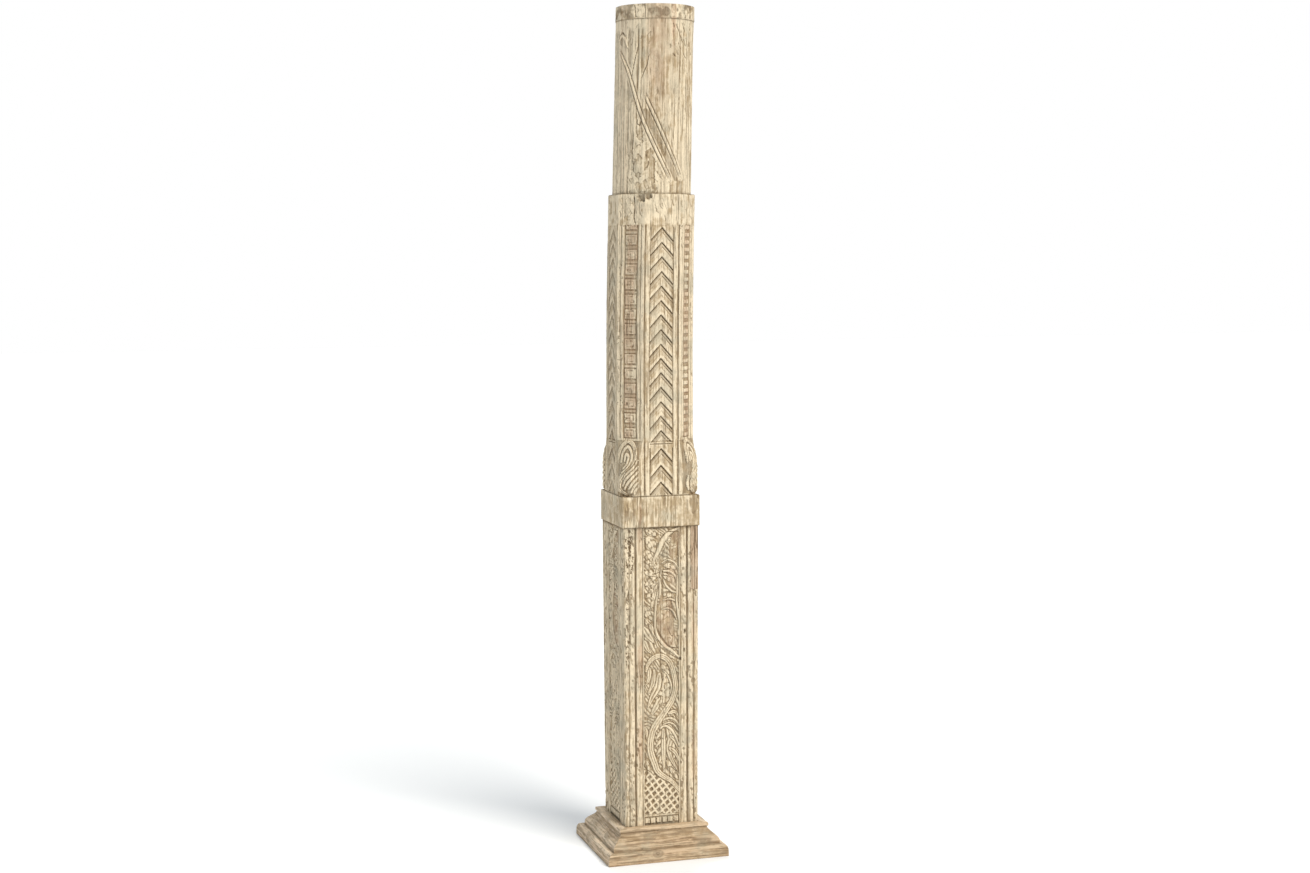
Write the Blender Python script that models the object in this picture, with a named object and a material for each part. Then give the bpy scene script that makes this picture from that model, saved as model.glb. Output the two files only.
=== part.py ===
"""A carved timber column on a mitred plinth, in metres, +Z up.

One timber is worked square below, eight-sided above a collar and round at its head.
Its front looks along -Y, and the origin is on the floor under its middle.
"""
import bpy
import bmesh
import numpy as np
from math import cos, pi, radians, sin, sqrt, tan
from mathutils import Vector

# Heights of the zones of the shaft, each measured up from the one below
PLINTH_HEIGHT = 0.082
SQUARE_HEIGHT = 0.784
COLLAR_HEIGHT = 0.081
STOP_HEIGHT = 0.143
CARVED_HEIGHT = 0.553
PLAIN_HEIGHT = 0.079
HEAD_HEIGHT = 0.441
RIM_HEIGHT = 0.037

# Half widths of the shaft
FOOT_HALF = 0.0990
SQUARE_HALF = 0.1018
COLLAR_HALF = 0.1046
STOP_HALF = 0.1044
OCTAGON_FOOT_HALF = 0.1038
OCTAGON_HALF = 0.1026
CORNER_CUT = 0.0545
STOP_CUT = 0.0230
STOP_ROUND = 0.012
ARRIS = 0.0035
HEAD_FOOT_RADIUS = 0.1018
HEAD_TOP_RADIUS = 0.1002
RIM_RADIUS = 0.1014

# The old timber is crooked: how far it leans at the shoulder and at the top, and its heading
SHOULDER_LEAN = 0.0060
TOP_LEAN = 0.0190
LEAN_HEADING = radians(-17.0)

# Plinth moulding
PLINTH_HALF = 0.163
FASCIA_HEIGHT = 0.030
FASCIA_ROUND = 0.009
FASCIA_STEP = 0.010
OGEE_HALF = 0.121
OGEE_SWELL = 0.0055
TOP_FILLET = 0.008
CLEARANCE = 0.0003

# Strips and panel of the square zone, measured across each face
PANEL_HALF = 0.047
PANEL_DEPTH = 0.0050
BEAD_WIDTH = 0.004
RIDGE_WIDTH = 0.016
GROOVE_WIDTH = 0.006
GROOVE_DEPTH = 0.0055
FINE_WIDTH = 0.0028
FINE_DEPTH = 0.0018

# The scroll's carving
STEM_WIDTH = 0.0150
STEM_RELIEF = 0.0042
TENDRIL_WIDTH = 0.0080
TENDRIL_RELIEF = 0.0038
LEAF_RELIEF = 0.0036
HIDDEN_LEAVES = 7

# Lattice and frieze at the foot of the lower panel
FRIEZE_HEIGHT = 0.021
FRIEZE_BLOCKS = 6
LATTICE_PITCH = 0.0235
LATTICE_BAR = 0.0050
LATTICE_RELIEF = 0.0030
LATTICE_EDGE = 0.002
HIDDEN_COARSER = 1.7

# Chevron panel of the eight-sided zone
CHEVRON_HALF = 0.0305
CHEVRON_DEPTH = 0.0045
CHEVRON_COUNT = 14
CHEVRON_SLOPE = radians(48.0)
CHEVRON_GAP = 0.16
CHEVRON_CREST = -0.0006
CHEVRON_REACH = 0.002
LOW_CHEVRONS = 3
LOW_PITCH = 0.043
LOW_DROP = 0.018
RIB_WIDTH = 0.0125
RIB_GROOVE = 0.0040
RIB_GROOVE_DEPTH = 0.0030

# Strip of squares and bars on each cut corner
STRIP_HALF = 0.0185
STRIP_DEPTH = 0.0026
STRIP_PERIODS = 14
SQUARE_SHARE = 0.44
BAR_SHARE = 0.24
STRIP_RELIEF = 0.0022
SQUARE_INSET = 0.0035
STRIP_FOOT = 0.006
EDGE_LINE = 0.0105
EDGE_WIDTH = 0.0030
EDGE_DEPTH = 0.0020

# Leaf of each corner stop
STOP_WIDTH = 0.0058
STOP_RELIEF = 0.0024

# Round head
REED_COUNT = 40
REED_DEPTH = 0.0013
NECK_HEIGHT = 0.024
NECK_PROUD = 0.0005
RIM_ROUND = 0.0018
RIBBON_WIDTH = 0.021
RIBBON_LINE = 0.0050
RIBBON_RELIEF = 0.0028

# Let-in repair at the right front corner, under the collar
PATCH_HEIGHT = 0.166
PATCH_WIDTH = 0.022
PATCH_DEPTH = 0.012

COLLAR_STEP = 0.0008
EMBED = 0.0030
WELD = 0.00006
SIDES = (0, 90, 180, 270)
SHOWN_SIDES = (0, 270, 45, 315)
CORNERS = (45, 135, 225, 315)

SQUARE_TOP = PLINTH_HEIGHT + SQUARE_HEIGHT
COLLAR_TOP = SQUARE_TOP + COLLAR_HEIGHT
STOP_TOP = COLLAR_TOP + STOP_HEIGHT
CARVED_TOP = STOP_TOP + CARVED_HEIGHT
PLAIN_TOP = CARVED_TOP + PLAIN_HEIGHT
RIM_FOOT = PLAIN_TOP + HEAD_HEIGHT
COLUMN_HEIGHT = RIM_FOOT + RIM_HEIGHT


def smooth(points, per_span=2):
    """Points along a smooth curve through a few control points."""
    p = [Vector(q) for q in points]
    p = [2 * p[0] - p[1]] + p + [2 * p[-1] - p[-2]]
    out = []
    for i in range(1, len(p) - 2):
        for k in range(per_span):
            t = k / per_span
            a = 2 * p[i]
            b = (p[i + 1] - p[i - 1]) * t
            c = (2 * p[i - 1] - 5 * p[i] + 4 * p[i + 1] - p[i + 2]) * t * t
            d = (3 * p[i] - p[i - 1] - 3 * p[i + 1] + p[i + 2]) * t ** 3
            out.append((a + b + c + d) / 2)
    return out + [p[-2]]


def crossways(path, i):
    """The unit direction across a path at one of its points."""
    before = path[i] - path[max(i - 1, 0)]
    after = path[min(i + 1, len(path) - 1)] - path[i]
    along = (before.normalized() + after.normalized()).normalized()
    return Vector((-along.y, along.x))


class Side:
    """A flat side of the timber: u runs across it, z up, and out stands off it."""

    def __init__(self, degrees, apothem):
        turn = radians(degrees)
        self.normal = Vector((sin(turn), -cos(turn), 0))
        self.across = Vector((cos(turn), sin(turn), 0))
        self.apothem = apothem
        self.shown = degrees in SHOWN_SIDES

    def at(self, u, z, out):
        return self.normal * (self.apothem(u, z) + out) + self.across * u + Vector((0, 0, z))


class Barrel:
    """The round head: u is measured round it from the middle of the front."""

    def at(self, u, z, out):
        radius = head_radius(z)
        turn = u / radius
        return Vector(((radius + out) * sin(turn), -(radius + out) * cos(turn), z))


def head_radius(z):
    share = (z - PLAIN_TOP) / HEAD_HEIGHT
    return HEAD_FOOT_RADIUS + (HEAD_TOP_RADIUS - HEAD_FOOT_RADIUS) * share


def square_half(z):
    """The square zone widens a little from the plinth to the collar."""
    share = min(max((z - PLINTH_HEIGHT) / SQUARE_HEIGHT, 0.0), 1.0)
    return FOOT_HALF + (SQUARE_HALF - FOOT_HALF) * share


def main_half(z):
    """Half the width across the main sides above the collar, through the stops and eight sides."""
    if z < STOP_TOP:
        return STOP_HALF + (OCTAGON_FOOT_HALF - STOP_HALF) * (z - COLLAR_TOP) / STOP_HEIGHT
    return OCTAGON_FOOT_HALF + (OCTAGON_HALF - OCTAGON_FOOT_HALF) * (z - STOP_TOP) / (PLAIN_TOP - STOP_TOP)


def cut_reach(u, z):
    """How far a cut corner of the eight sides lies from the axis."""
    return sqrt(2) * main_half(z) - CORNER_CUT / sqrt(2)


def stop_cut(z):
    """How much of the corner is cut away through the stops, from the collar up."""
    share = min(max((z - COLLAR_TOP) / STOP_HEIGHT, 0.0), 1.0)
    foot = STOP_ROUND * max(0.0, 1 - share / 0.12) ** 2
    rise = max(0.0, (share - 0.45) / 0.55)
    return STOP_CUT + foot + (CORNER_CUT - STOP_CUT) * rise ** 1.4


def stop_corner(u, z):
    """How far the corner's surface lies from the axis through the stops."""
    return main_half(z) * sqrt(2) - max(stop_cut(z) / sqrt(2), abs(u))


def ring(half, cut, z):
    """A square section with its corners cut, eight points."""
    short = half - cut
    points = ((short, -half), (half, -short), (half, short), (short, half))
    return [Vector((x, y, z)) for x, y in points + tuple((-x, -y) for x, y in points)]


class Solid:
    """Closed bodies gathered in one mesh."""

    def __init__(self):
        self.verts, self.faces = [], []

    def loft(self, rings):
        """Join rings of points, bottom to top, and close both ends."""
        base, count = len(self.verts), len(rings[0])
        for points in rings:
            self.verts += [tuple(p) for p in points]
        for level in range(len(rings) - 1):
            low = base + level * count
            for i in range(count):
                j = (i + 1) % count
                self.faces.append((low + i, low + j, low + count + j, low + count + i))
        self.faces.append(tuple(base + i for i in reversed(range(count))))
        self.faces.append(tuple(base + (len(rings) - 1) * count + i for i in range(count)))

    def plate(self, side, outline, low, high, inset=0.0):
        """A plate of the given outline, from low to high above the side."""
        area = sum(a[0] * b[1] - b[0] * a[1] for a, b in zip(outline, outline[1:] + outline[:1]))
        if area < 0:
            outline = outline[::-1]
        mid = sum((Vector(p) for p in outline), Vector((0, 0))) / len(outline)
        top = []
        for p in outline:
            step = mid - Vector(p)
            top.append(Vector(p) + step * min(inset / max(step.length, inset), 1))
        self.loft([[side.at(p[0], p[1], low) for p in outline],
                   [side.at(p[0], p[1], high) for p in top]])

    def stroke(self, side, path, width, relief, crest=0.55, taper=(1.0, 1.0), floor=0.0):
        """A carved line of the given width along a path; taper narrows its two ends."""
        path = [Vector(p) for p in path]
        last = len(path) - 1
        rings = []
        for i, p in enumerate(path):
            across = crossways(path, i)
            share = i / last
            swell = 1 - (1 - taper[0]) * (1 - share) ** 2 - (1 - taper[1]) * share ** 2
            half = across * width / 2 * swell
            rings.append([side.at(*(p + half), floor - EMBED), side.at(*(p - half), floor - EMBED),
                          side.at(*(p - half * crest), floor + relief),
                          side.at(*(p + half * crest), floor + relief)])
        self.loft(rings)

    def leaf(self, side, path, width, relief, floor=0.0):
        """A leaf with a sharp midrib, pointed at both ends of its path."""
        path = [Vector(p) for p in path]
        base, inner = len(self.verts), range(1, len(path) - 1)
        buried = width * (relief + EMBED) / relief
        self.verts.append(tuple(side.at(*path[0], floor - EMBED)))
        for i in inner:
            half = crossways(path, i) * buried / 2
            self.verts += [tuple(side.at(*(path[i] + half), floor - EMBED)),
                           tuple(side.at(*(path[i] - half), floor - EMBED)),
                           tuple(side.at(*path[i], floor + relief))]
        self.verts.append(tuple(side.at(*path[-1], floor - EMBED)))
        end = len(self.verts) - 1
        for one, two in ((0, 1), (1, 2), (2, 0)):
            self.faces.append((base, base + 1 + one, base + 1 + two))
            for k in range(len(inner) - 1):
                low = base + 1 + 3 * k
                self.faces.append((low + one, low + 3 + one, low + 3 + two, low + two))
            self.faces.append((end - 3 + two, end - 3 + one, end))

    def mesh_object(self, name):
        mesh = bpy.data.meshes.new(name)
        mesh.from_pydata(self.verts, [], self.faces)
        build = bmesh.new()
        build.from_mesh(mesh)
        bmesh.ops.recalc_face_normals(build, faces=build.faces)
        build.to_mesh(mesh)
        build.free()
        mesh.update()
        thing = bpy.data.objects.new(name, mesh)
        bpy.context.collection.objects.link(thing)
        return thing


def material(name, colour, roughness, metallic=0.0):
    finish = bpy.data.materials.new(name)
    finish.use_nodes = True
    shader = finish.node_tree.nodes["Principled BSDF"]
    shader.inputs["Base Color"].default_value = (*colour, 1.0)
    shader.inputs["Roughness"].default_value = roughness
    shader.inputs["Metallic"].default_value = metallic
    return finish


def carve(body, solid, operation):
    """Join the bodies of a solid to the body, or cut them out of it."""
    tool = solid.mesh_object(body.name + "_tool")
    step = body.modifiers.new("carve", "BOOLEAN")
    step.operation = operation
    step.solver = "EXACT"
    step.use_self = True
    step.object = tool
    bpy.context.view_layer.update()
    result = bpy.data.meshes.new_from_object(body.evaluated_get(bpy.context.evaluated_depsgraph_get()))
    body.modifiers.remove(step)
    body.data = tidy(result)
    bpy.data.objects.remove(tool)


def tidy(mesh):
    """Close up the hair-fine slivers that a cut leaves."""
    build = bmesh.new()
    build.from_mesh(mesh)
    bmesh.ops.remove_doubles(build, verts=build.verts, dist=WELD)
    bmesh.ops.dissolve_degenerate(build, edges=build.edges, dist=WELD)
    build.to_mesh(mesh)
    build.free()
    return mesh


def timber():
    """The plain timber: square, collar, stops, eight sides, all with cut corners."""
    solid = Solid()
    rings = [ring(FOOT_HALF, ARRIS, 0.0), ring(FOOT_HALF, ARRIS, PLINTH_HEIGHT)]
    rings += [ring(SQUARE_HALF, ARRIS, SQUARE_TOP)]
    rings += [ring(COLLAR_HALF, ARRIS, SQUARE_TOP + COLLAR_STEP), ring(COLLAR_HALF, ARRIS, COLLAR_TOP)]
    for share in (0.005, 0.04, 0.12, 0.45, 0.60, 0.75, 0.88, 1.0):
        z = COLLAR_TOP + share * STOP_HEIGHT
        rings.append(ring(main_half(z), stop_cut(z), z))
    rings.append(ring(OCTAGON_HALF, CORNER_CUT, PLAIN_TOP))
    solid.loft(rings)
    return solid.mesh_object("shaft")


def groove(solid, side, u, width, depth, low, high):
    """A groove with sloping walls, run up a side."""
    half = width / 2
    rows = [[side.at(u - half * 1.4, z, 0.002), side.at(u + half * 1.4, z, 0.002),
             side.at(u + half * 0.5, z, -depth), side.at(u - half * 0.5, z, -depth)]
            for z in (low, high)]
    solid.loft(rows)


def sunk(solid, side, half, depth, low, high):
    """A sunk field between plumb walls."""
    solid.plate(side, [(-half, low), (half, low), (half, high), (-half, high)], -depth, 0.004)


def lower_sides():
    return [Side(turn, lambda u, z: square_half(z)) for turn in SIDES]


def carve_square_zone(shaft):
    """Sunk panels, ridges and reeded corners of the square zone."""
    cuts = Solid()
    low, high = PLINTH_HEIGHT - 0.004, SQUARE_TOP - 0.0012
    ridge_foot = PANEL_HALF + BEAD_WIDTH
    ridge_end = ridge_foot + RIDGE_WIDTH
    strip_foot = ridge_end + GROOVE_WIDTH
    strip_mid = (strip_foot + SQUARE_HALF) / 2
    for side in lower_sides():
        sunk(cuts, side, PANEL_HALF, PANEL_DEPTH, low, high)
        for hand in (-1, 1):
            groove(cuts, side, hand * ridge_foot, FINE_WIDTH, FINE_DEPTH, low, high)
            groove(cuts, side, hand * (ridge_end + GROOVE_WIDTH / 2), GROOVE_WIDTH, GROOVE_DEPTH, low, high)
            groove(cuts, side, hand * strip_mid, FINE_WIDTH, FINE_DEPTH, low, high)
    carve(shaft, cuts, "DIFFERENCE")


def lattice_limit(u):
    """The lattice ends under the stem of the scroll, which falls to the right."""
    return 0.205 - 0.62 * u


def lattice(plates, pits, side, floor):
    """A raised field of crossed bars at the foot of the panel, with pits between them."""
    low = PLINTH_HEIGHT + FRIEZE_HEIGHT + 0.006
    edge = PANEL_HALF - LATTICE_EDGE
    plates.plate(side, [(-edge, low), (edge, low), (edge, lattice_limit(edge)),
                        (-edge, lattice_limit(-edge))], floor - EMBED, floor + LATTICE_RELIEF)
    pitch = LATTICE_PITCH if side.shown else LATTICE_PITCH * HIDDEN_COARSER
    half = (pitch - LATTICE_BAR * sqrt(2)) / 2
    for row in range(int((lattice_limit(-edge) - low) / (pitch / 2))):
        z = low + LATTICE_BAR / 2 + half + row * pitch / 2
        shift = (row % 2) * pitch / 2
        columns = int(edge / pitch) + 1
        for column in range(-columns, columns + 1):
            u = column * pitch + shift
            if abs(u) + half < edge and z + half + LATTICE_BAR < lattice_limit(u + half):
                pits.plate(side, [(u, z - half), (u + half, z), (u, z + half), (u - half, z)],
                           floor + LATTICE_RELIEF * 0.2, floor + LATTICE_RELIEF + 0.004)


# The scroll of the lower panel. Across is a share of the panel's half width, up a share
# of the square zone's height, above the plinth.
STEM = [(1.00, 0.108), (0.40, 0.148), (-0.20, 0.180), (-0.55, 0.225), (-0.66, 0.280),
        (-0.48, 0.340), (0.05, 0.375), (0.55, 0.415), (0.86, 0.465), (0.76, 0.510),
        (0.34, 0.555), (-0.25, 0.572), (-0.70, 0.553), (-0.84, 0.530)]
POD_EDGE = [(1.02, 0.556), (0.55, 0.590), (0.05, 0.625), (-0.24, 0.665), (-0.28, 0.710),
            (-0.16, 0.765), (0.00, 0.815), (-0.06, 0.855)]
OUTER_STEM = [(0.88, 0.592), (0.90, 0.660), (0.98, 0.740), (0.96, 0.790), (0.60, 0.835), (-0.04, 0.862)]
LEAVES = [
    ([(0.10, 0.358), (0.52, 0.362), (0.92, 0.328)], 0.0085),
    ([(-0.10, 0.335), (0.42, 0.312), (0.80, 0.288), (1.00, 0.258)], 0.0105),
    ([(-0.12, 0.205), (-0.02, 0.255), (-0.06, 0.318)], 0.0190),
    ([(0.46, 0.288), (0.46, 0.232), (0.66, 0.190), (0.94, 0.158)], 0.0090),
    ([(0.78, 0.262), (0.74, 0.226), (0.98, 0.196)], 0.0080),
    ([(0.20, 0.532), (0.46, 0.480), (0.30, 0.428), (0.06, 0.402)], 0.0160),
    ([(-0.22, 0.540), (-0.30, 0.480), (-0.30, 0.430), (-0.56, 0.375)], 0.0110),
    ([(-0.72, 0.505), (-0.66, 0.450), (-0.82, 0.385)], 0.0085),
    ([(-0.78, 0.672), (-0.48, 0.650), (-0.26, 0.612)], 0.0120),
    ([(0.10, 0.722), (0.48, 0.728), (0.80, 0.706)], 0.0060),
    ([(0.14, 0.752), (0.46, 0.758), (0.80, 0.748)], 0.0060),
    ([(0.34, 0.600), (0.36, 0.640), (0.20, 0.690)], 0.0150),
    ([(-0.34, 0.888), (-0.08, 0.940), (0.36, 0.972), (0.98, 0.990)], 0.0110),
    ([(-0.88, 0.982), (-0.58, 0.975), (-0.34, 0.955)], 0.0085),
    ([(-0.84, 0.944), (-0.56, 0.930), (-0.40, 0.895)], 0.0085),
    ([(-0.20, 0.868), (-0.52, 0.856), (-0.84, 0.876)], 0.0080),
    ([(-0.20, 0.848), (-0.50, 0.815), (-0.80, 0.800)], 0.0080),
    ([(-0.16, 0.840), (-0.42, 0.770), (-0.70, 0.735)], 0.0090),
    ([(0.12, 0.868), (0.46, 0.900), (0.80, 0.905)], 0.0080),
]


def on_panel(points):
    return [(x * PANEL_HALF, PLINTH_HEIGHT + y * SQUARE_HEIGHT) for x, y in points]


def scroll(stems, leaves, side, floor, shown):
    """The climbing scroll, its pod and its leaves; the hidden sides have fewer leaves."""
    stems.stroke(side, on_panel(STEM), STEM_WIDTH, STEM_RELIEF, floor=floor)
    stems.leaf(side, on_panel(POD_EDGE), TENDRIL_WIDTH, TENDRIL_RELIEF, floor)
    stems.leaf(side, on_panel(OUTER_STEM), TENDRIL_WIDTH, TENDRIL_RELIEF * 0.9, floor)
    for path, width in LEAVES if shown else LEAVES[:HIDDEN_LEAVES]:
        leaves.leaf(side, smooth(on_panel(path), 1 if len(path) > 3 else 2), width, LEAF_RELIEF, floor)


def carve_lower_panels(shaft):
    plates, pits, stems, leaves = Solid(), Solid(), Solid(), Solid()
    floor = -PANEL_DEPTH
    for side in lower_sides():
        lattice(plates, pits, side, floor)
        pitch = 2 * PANEL_HALF / FRIEZE_BLOCKS
        for i in range(FRIEZE_BLOCKS):
            u = -PANEL_HALF + (i + 0.5) * pitch
            z = PLINTH_HEIGHT + FRIEZE_HEIGHT / 2
            wide, tall = pitch * 0.36, FRIEZE_HEIGHT * 0.36
            plates.plate(side, [(u - wide, z - tall), (u + wide, z - tall), (u + wide, z + tall),
                                (u - wide, z + tall)], floor - EMBED, floor + LATTICE_RELIEF, 0.002)
        scroll(stems, leaves, side, floor, side.shown)
    carve(shaft, plates, "UNION")
    carve(shaft, pits, "DIFFERENCE")
    carve(shaft, stems, "UNION")
    carve(shaft, leaves, "UNION")


def chevron(solid, side, apex, pitch, half, floor, top):
    """A chevron that rises from a cut at its upper edge to its lower edge."""
    reach = half + CHEVRON_REACH
    drop = reach * tan(CHEVRON_SLOPE)
    tall = pitch * (1 - CHEVRON_GAP)
    rows = []
    for out, z in ((floor - EMBED, apex), (top, apex - tall), (floor - EMBED, apex - tall)):
        rows.append([side.at(-reach, z - drop, out), side.at(0, z, out), side.at(reach, z - drop, out)])
    upper, lower, back = rows
    base = len(solid.verts)
    solid.verts += [tuple(p) for p in upper + lower + back]
    for k in (0, 1):
        solid.faces.append((base + k, base + 3 + k, base + 4 + k, base + 1 + k))
        solid.faces.append((base + 3 + k, base + 6 + k, base + 7 + k, base + 4 + k))
        solid.faces.append((base + 6 + k, base + k, base + 1 + k, base + 7 + k))
    solid.faces.append((base, base + 6, base + 3))
    solid.faces.append((base + 2, base + 5, base + 8))


def carve_chevron_panels(shaft):
    """Chevrons run up the four main sides, with three more between the stops."""
    cuts, chevrons = Solid(), Solid()
    fall = CHEVRON_HALF * tan(CHEVRON_SLOPE)
    for turn in SIDES:
        upper = Side(turn, lambda u, z: main_half(z))
        sunk(cuts, upper, CHEVRON_HALF, CHEVRON_DEPTH, STOP_TOP - 0.004, CARVED_TOP)
        sunk(cuts, upper, CHEVRON_HALF, CHEVRON_DEPTH, COLLAR_TOP + 0.004, STOP_TOP - 0.012)
        for hand in (-1, 1):
            groove(cuts, upper, hand * (CHEVRON_HALF + RIB_WIDTH + RIB_GROOVE / 2), RIB_GROOVE,
                   RIB_GROOVE_DEPTH, COLLAR_TOP + 0.003, CARVED_TOP)
        pitch = (CARVED_HEIGHT - fall * 0.5) / CHEVRON_COUNT
        for i in range(CHEVRON_COUNT):
            apex = CARVED_TOP - 0.002 - i * pitch
            chevron(chevrons, upper, apex, pitch, CHEVRON_HALF, -CHEVRON_DEPTH, CHEVRON_CREST)
        for i in range(LOW_CHEVRONS):
            apex = STOP_TOP - LOW_DROP - i * LOW_PITCH
            chevron(chevrons, upper, apex, LOW_PITCH, CHEVRON_HALF, -CHEVRON_DEPTH, CHEVRON_CREST)
    carve(shaft, cuts, "DIFFERENCE")
    trim_below(chevrons, COLLAR_TOP + 0.002)
    carve(shaft, chevrons, "UNION")


def trim_below(solid, z):
    """Nothing of the chevrons reaches down into the collar's face."""
    solid.verts = [(x, y, max(height, z)) for x, y, height in solid.verts]


def carve_corner_strips(shaft):
    """Squares and bars by turns, up each cut corner."""
    cuts, blocks = Solid(), Solid()
    foot = STOP_TOP + STRIP_FOOT
    pitch = CARVED_HEIGHT / STRIP_PERIODS
    for turn in CORNERS:
        side = Side(turn, cut_reach)
        sunk(cuts, side, STRIP_HALF, STRIP_DEPTH, foot, CARVED_TOP)
        for hand in (-1, 1):
            groove(cuts, side, hand * (STRIP_HALF + EDGE_LINE), EDGE_WIDTH, EDGE_DEPTH, foot, CARVED_TOP)
        for i in range(STRIP_PERIODS):
            z = foot + (i + 0.30) * pitch
            tall = pitch * SQUARE_SHARE / 2
            wide = STRIP_HALF - SQUARE_INSET
            floor = -STRIP_DEPTH
            blocks.plate(side, [(-wide, z - tall), (wide, z - tall), (wide, z + tall), (-wide, z + tall)],
                         floor - EMBED, floor + STRIP_RELIEF, 0.0015)
            z += pitch / 2
            tall = pitch * BAR_SHARE / 2
            wide = STRIP_HALF - 0.0010
            if side.shown and z + tall < CARVED_TOP:
                blocks.plate(side, [(-wide, z - tall), (wide, z - tall), (wide, z + tall), (-wide, z + tall)],
                             floor - EMBED, floor + STRIP_RELIEF * 0.8, 0.001)
    carve(shaft, cuts, "DIFFERENCE")
    carve(shaft, blocks, "UNION")


# The leaf of a corner stop. Across is a share of the cut corner's half width, up a share
# of the stop's height.
STOP_CURL = [(-0.62, 0.62), (-0.56, 0.86), (-0.12, 1.00), (0.40, 0.88), (0.58, 0.68), (0.30, 0.50),
             (-0.20, 0.36), (-0.42, 0.22), (-0.30, 0.10), (0.05, 0.03)]
STOP_VEINS = [
    [(-0.34, 0.62), (-0.14, 0.84), (0.14, 0.72), (0.00, 0.56), (-0.34, 0.42)],
    [(0.72, 0.54), (0.30, 0.38), (-0.06, 0.24), (-0.12, 0.14)],
    [(0.74, 0.40), (0.40, 0.27), (0.10, 0.12)],
    [(0.72, 0.26), (0.46, 0.18), (0.24, 0.04)],
]


def carve_stop_leaves(shaft):
    leaves = Solid()
    half = CORNER_CUT / sqrt(2)

    def on_stop(path):
        return [(x * half, COLLAR_TOP + 0.003 + y * (STOP_HEIGHT - 0.006)) for x, y in path]

    for turn in CORNERS:
        side = Side(turn, stop_corner)
        leaves.stroke(side, on_stop(STOP_CURL), STOP_WIDTH, STOP_RELIEF, crest=0.4, taper=(0.6, 0.5))
        for path in STOP_VEINS:
            leaves.leaf(side, on_stop(path), STOP_WIDTH, STOP_RELIEF)
    carve(shaft, leaves, "UNION")


def round_ring(radius, z, count=REED_COUNT):
    return [Vector((radius * cos(2 * pi * i / count), radius * sin(2 * pi * i / count), z)) for i in range(count)]


def reeded_ring(radius, z):
    """A ring of shallow reeds of uneven width and depth."""
    chance = np.random.default_rng(5)
    points = []
    for i in range(REED_COUNT):
        deep = REED_DEPTH * chance.uniform(0.45, 1.0)
        for part, r in ((chance.uniform(-0.22, 0.22), radius), (0.5, radius - deep)):
            turn = 2 * pi * (i + part) / REED_COUNT
            points.append(Vector((r * cos(turn), r * sin(turn), z)))
    return points


def head(shaft):
    """The round head with its reeds, smooth neck and rim."""
    reeds, rim = Solid(), Solid()
    neck = RIM_FOOT - NECK_HEIGHT
    reeds.loft([reeded_ring(HEAD_FOOT_RADIUS, PLAIN_TOP - EMBED), reeded_ring(head_radius(neck), neck + EMBED)])
    rim.loft([round_ring(head_radius(neck) + NECK_PROUD, neck),
              round_ring(HEAD_TOP_RADIUS + NECK_PROUD, RIM_FOOT),
              round_ring(RIM_RADIUS, RIM_FOOT + 0.0008),
              round_ring(RIM_RADIUS, COLUMN_HEIGHT - RIM_ROUND),
              round_ring(RIM_RADIUS - RIM_ROUND, COLUMN_HEIGHT)])
    carve(shaft, reeds, "UNION")
    carve(shaft, rim, "UNION")


# The ribbon across the head. Across is measured from the middle of the front, as a share
# of the radius, up a share of the head's height.
RIBBON = [(-0.92, 0.885), (-0.80, 0.80), (-0.50, 0.62), (-0.24, 0.42), (0.02, 0.24), (0.26, 0.08)]


def carve_ribbon(shaft):
    """Two raised lines falling to the right across the head, joined in a hook above."""
    lines = Solid()
    barrel = Barrel()
    middle = [Vector((x * HEAD_FOOT_RADIUS, PLAIN_TOP + y * HEAD_HEIGHT)) for x, y in RIBBON]
    along = (middle[-1] - middle[0]).normalized()
    across = Vector((-along.y, along.x)) * RIBBON_WIDTH / 2
    for hand in (-1, 1):
        path = [p + across * hand for p in middle]
        lines.stroke(barrel, path, RIBBON_LINE, RIBBON_RELIEF, taper=(0.7, 0.4))
    carve(shaft, lines, "UNION")


def break_shoulder(shaft):
    """The shoulder under the head is broken off between the front and the left cut corner."""
    cut = Solid()
    side = Side(-30, lambda u, z: HEAD_FOOT_RADIUS + 0.0008)
    top = PLAIN_TOP + 0.006
    shape = [(-0.026, top), (-0.024, PLAIN_TOP - 0.004), (-0.014, PLAIN_TOP - 0.003), (-0.008, PLAIN_TOP - 0.014),
             (0.000, PLAIN_TOP - 0.017), (0.008, PLAIN_TOP - 0.026), (0.014, PLAIN_TOP - 0.020),
             (0.020, PLAIN_TOP - 0.006), (0.026, top)]
    cut.plate(side, shape, 0.0, 0.030)
    carve(shaft, cut, "DIFFERENCE")


def lean(shaft):
    """Lean the timber above its collar, and more above its shoulder."""
    heading = Vector((cos(LEAN_HEADING), sin(LEAN_HEADING), 0))
    for vert in shaft.data.vertices:
        z = vert.co.z
        trunk = min(max((z - COLLAR_TOP) / (PLAIN_TOP - COLLAR_TOP), 0.0), 1.0)
        top = max((z - PLAIN_TOP) / (COLUMN_HEIGHT - PLAIN_TOP), 0.0)
        vert.co += heading * (SHOULDER_LEAN * trunk + (TOP_LEAN - SHOULDER_LEAN) * top)


def patch_box(gap):
    """The let-in piece's place: across from its inner edge, and its depth into the corner."""
    low = SQUARE_TOP - PATCH_HEIGHT
    inner = SQUARE_HALF - PATCH_WIDTH - gap
    back = -SQUARE_HALF + PATCH_DEPTH + gap
    return inner, back, low - gap


def cut_patch_seat(shaft):
    seat = Solid()
    inner, back, low = patch_box(CLEARANCE)
    out = SQUARE_HALF + 0.02
    rows = [[Vector((inner, -out, z)), Vector((out, -out, z)), Vector((out, back, z)), Vector((inner, back, z))]
            for z in (low, SQUARE_TOP - 0.0003)]
    seat.loft(rows)
    carve(shaft, seat, "DIFFERENCE")


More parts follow.
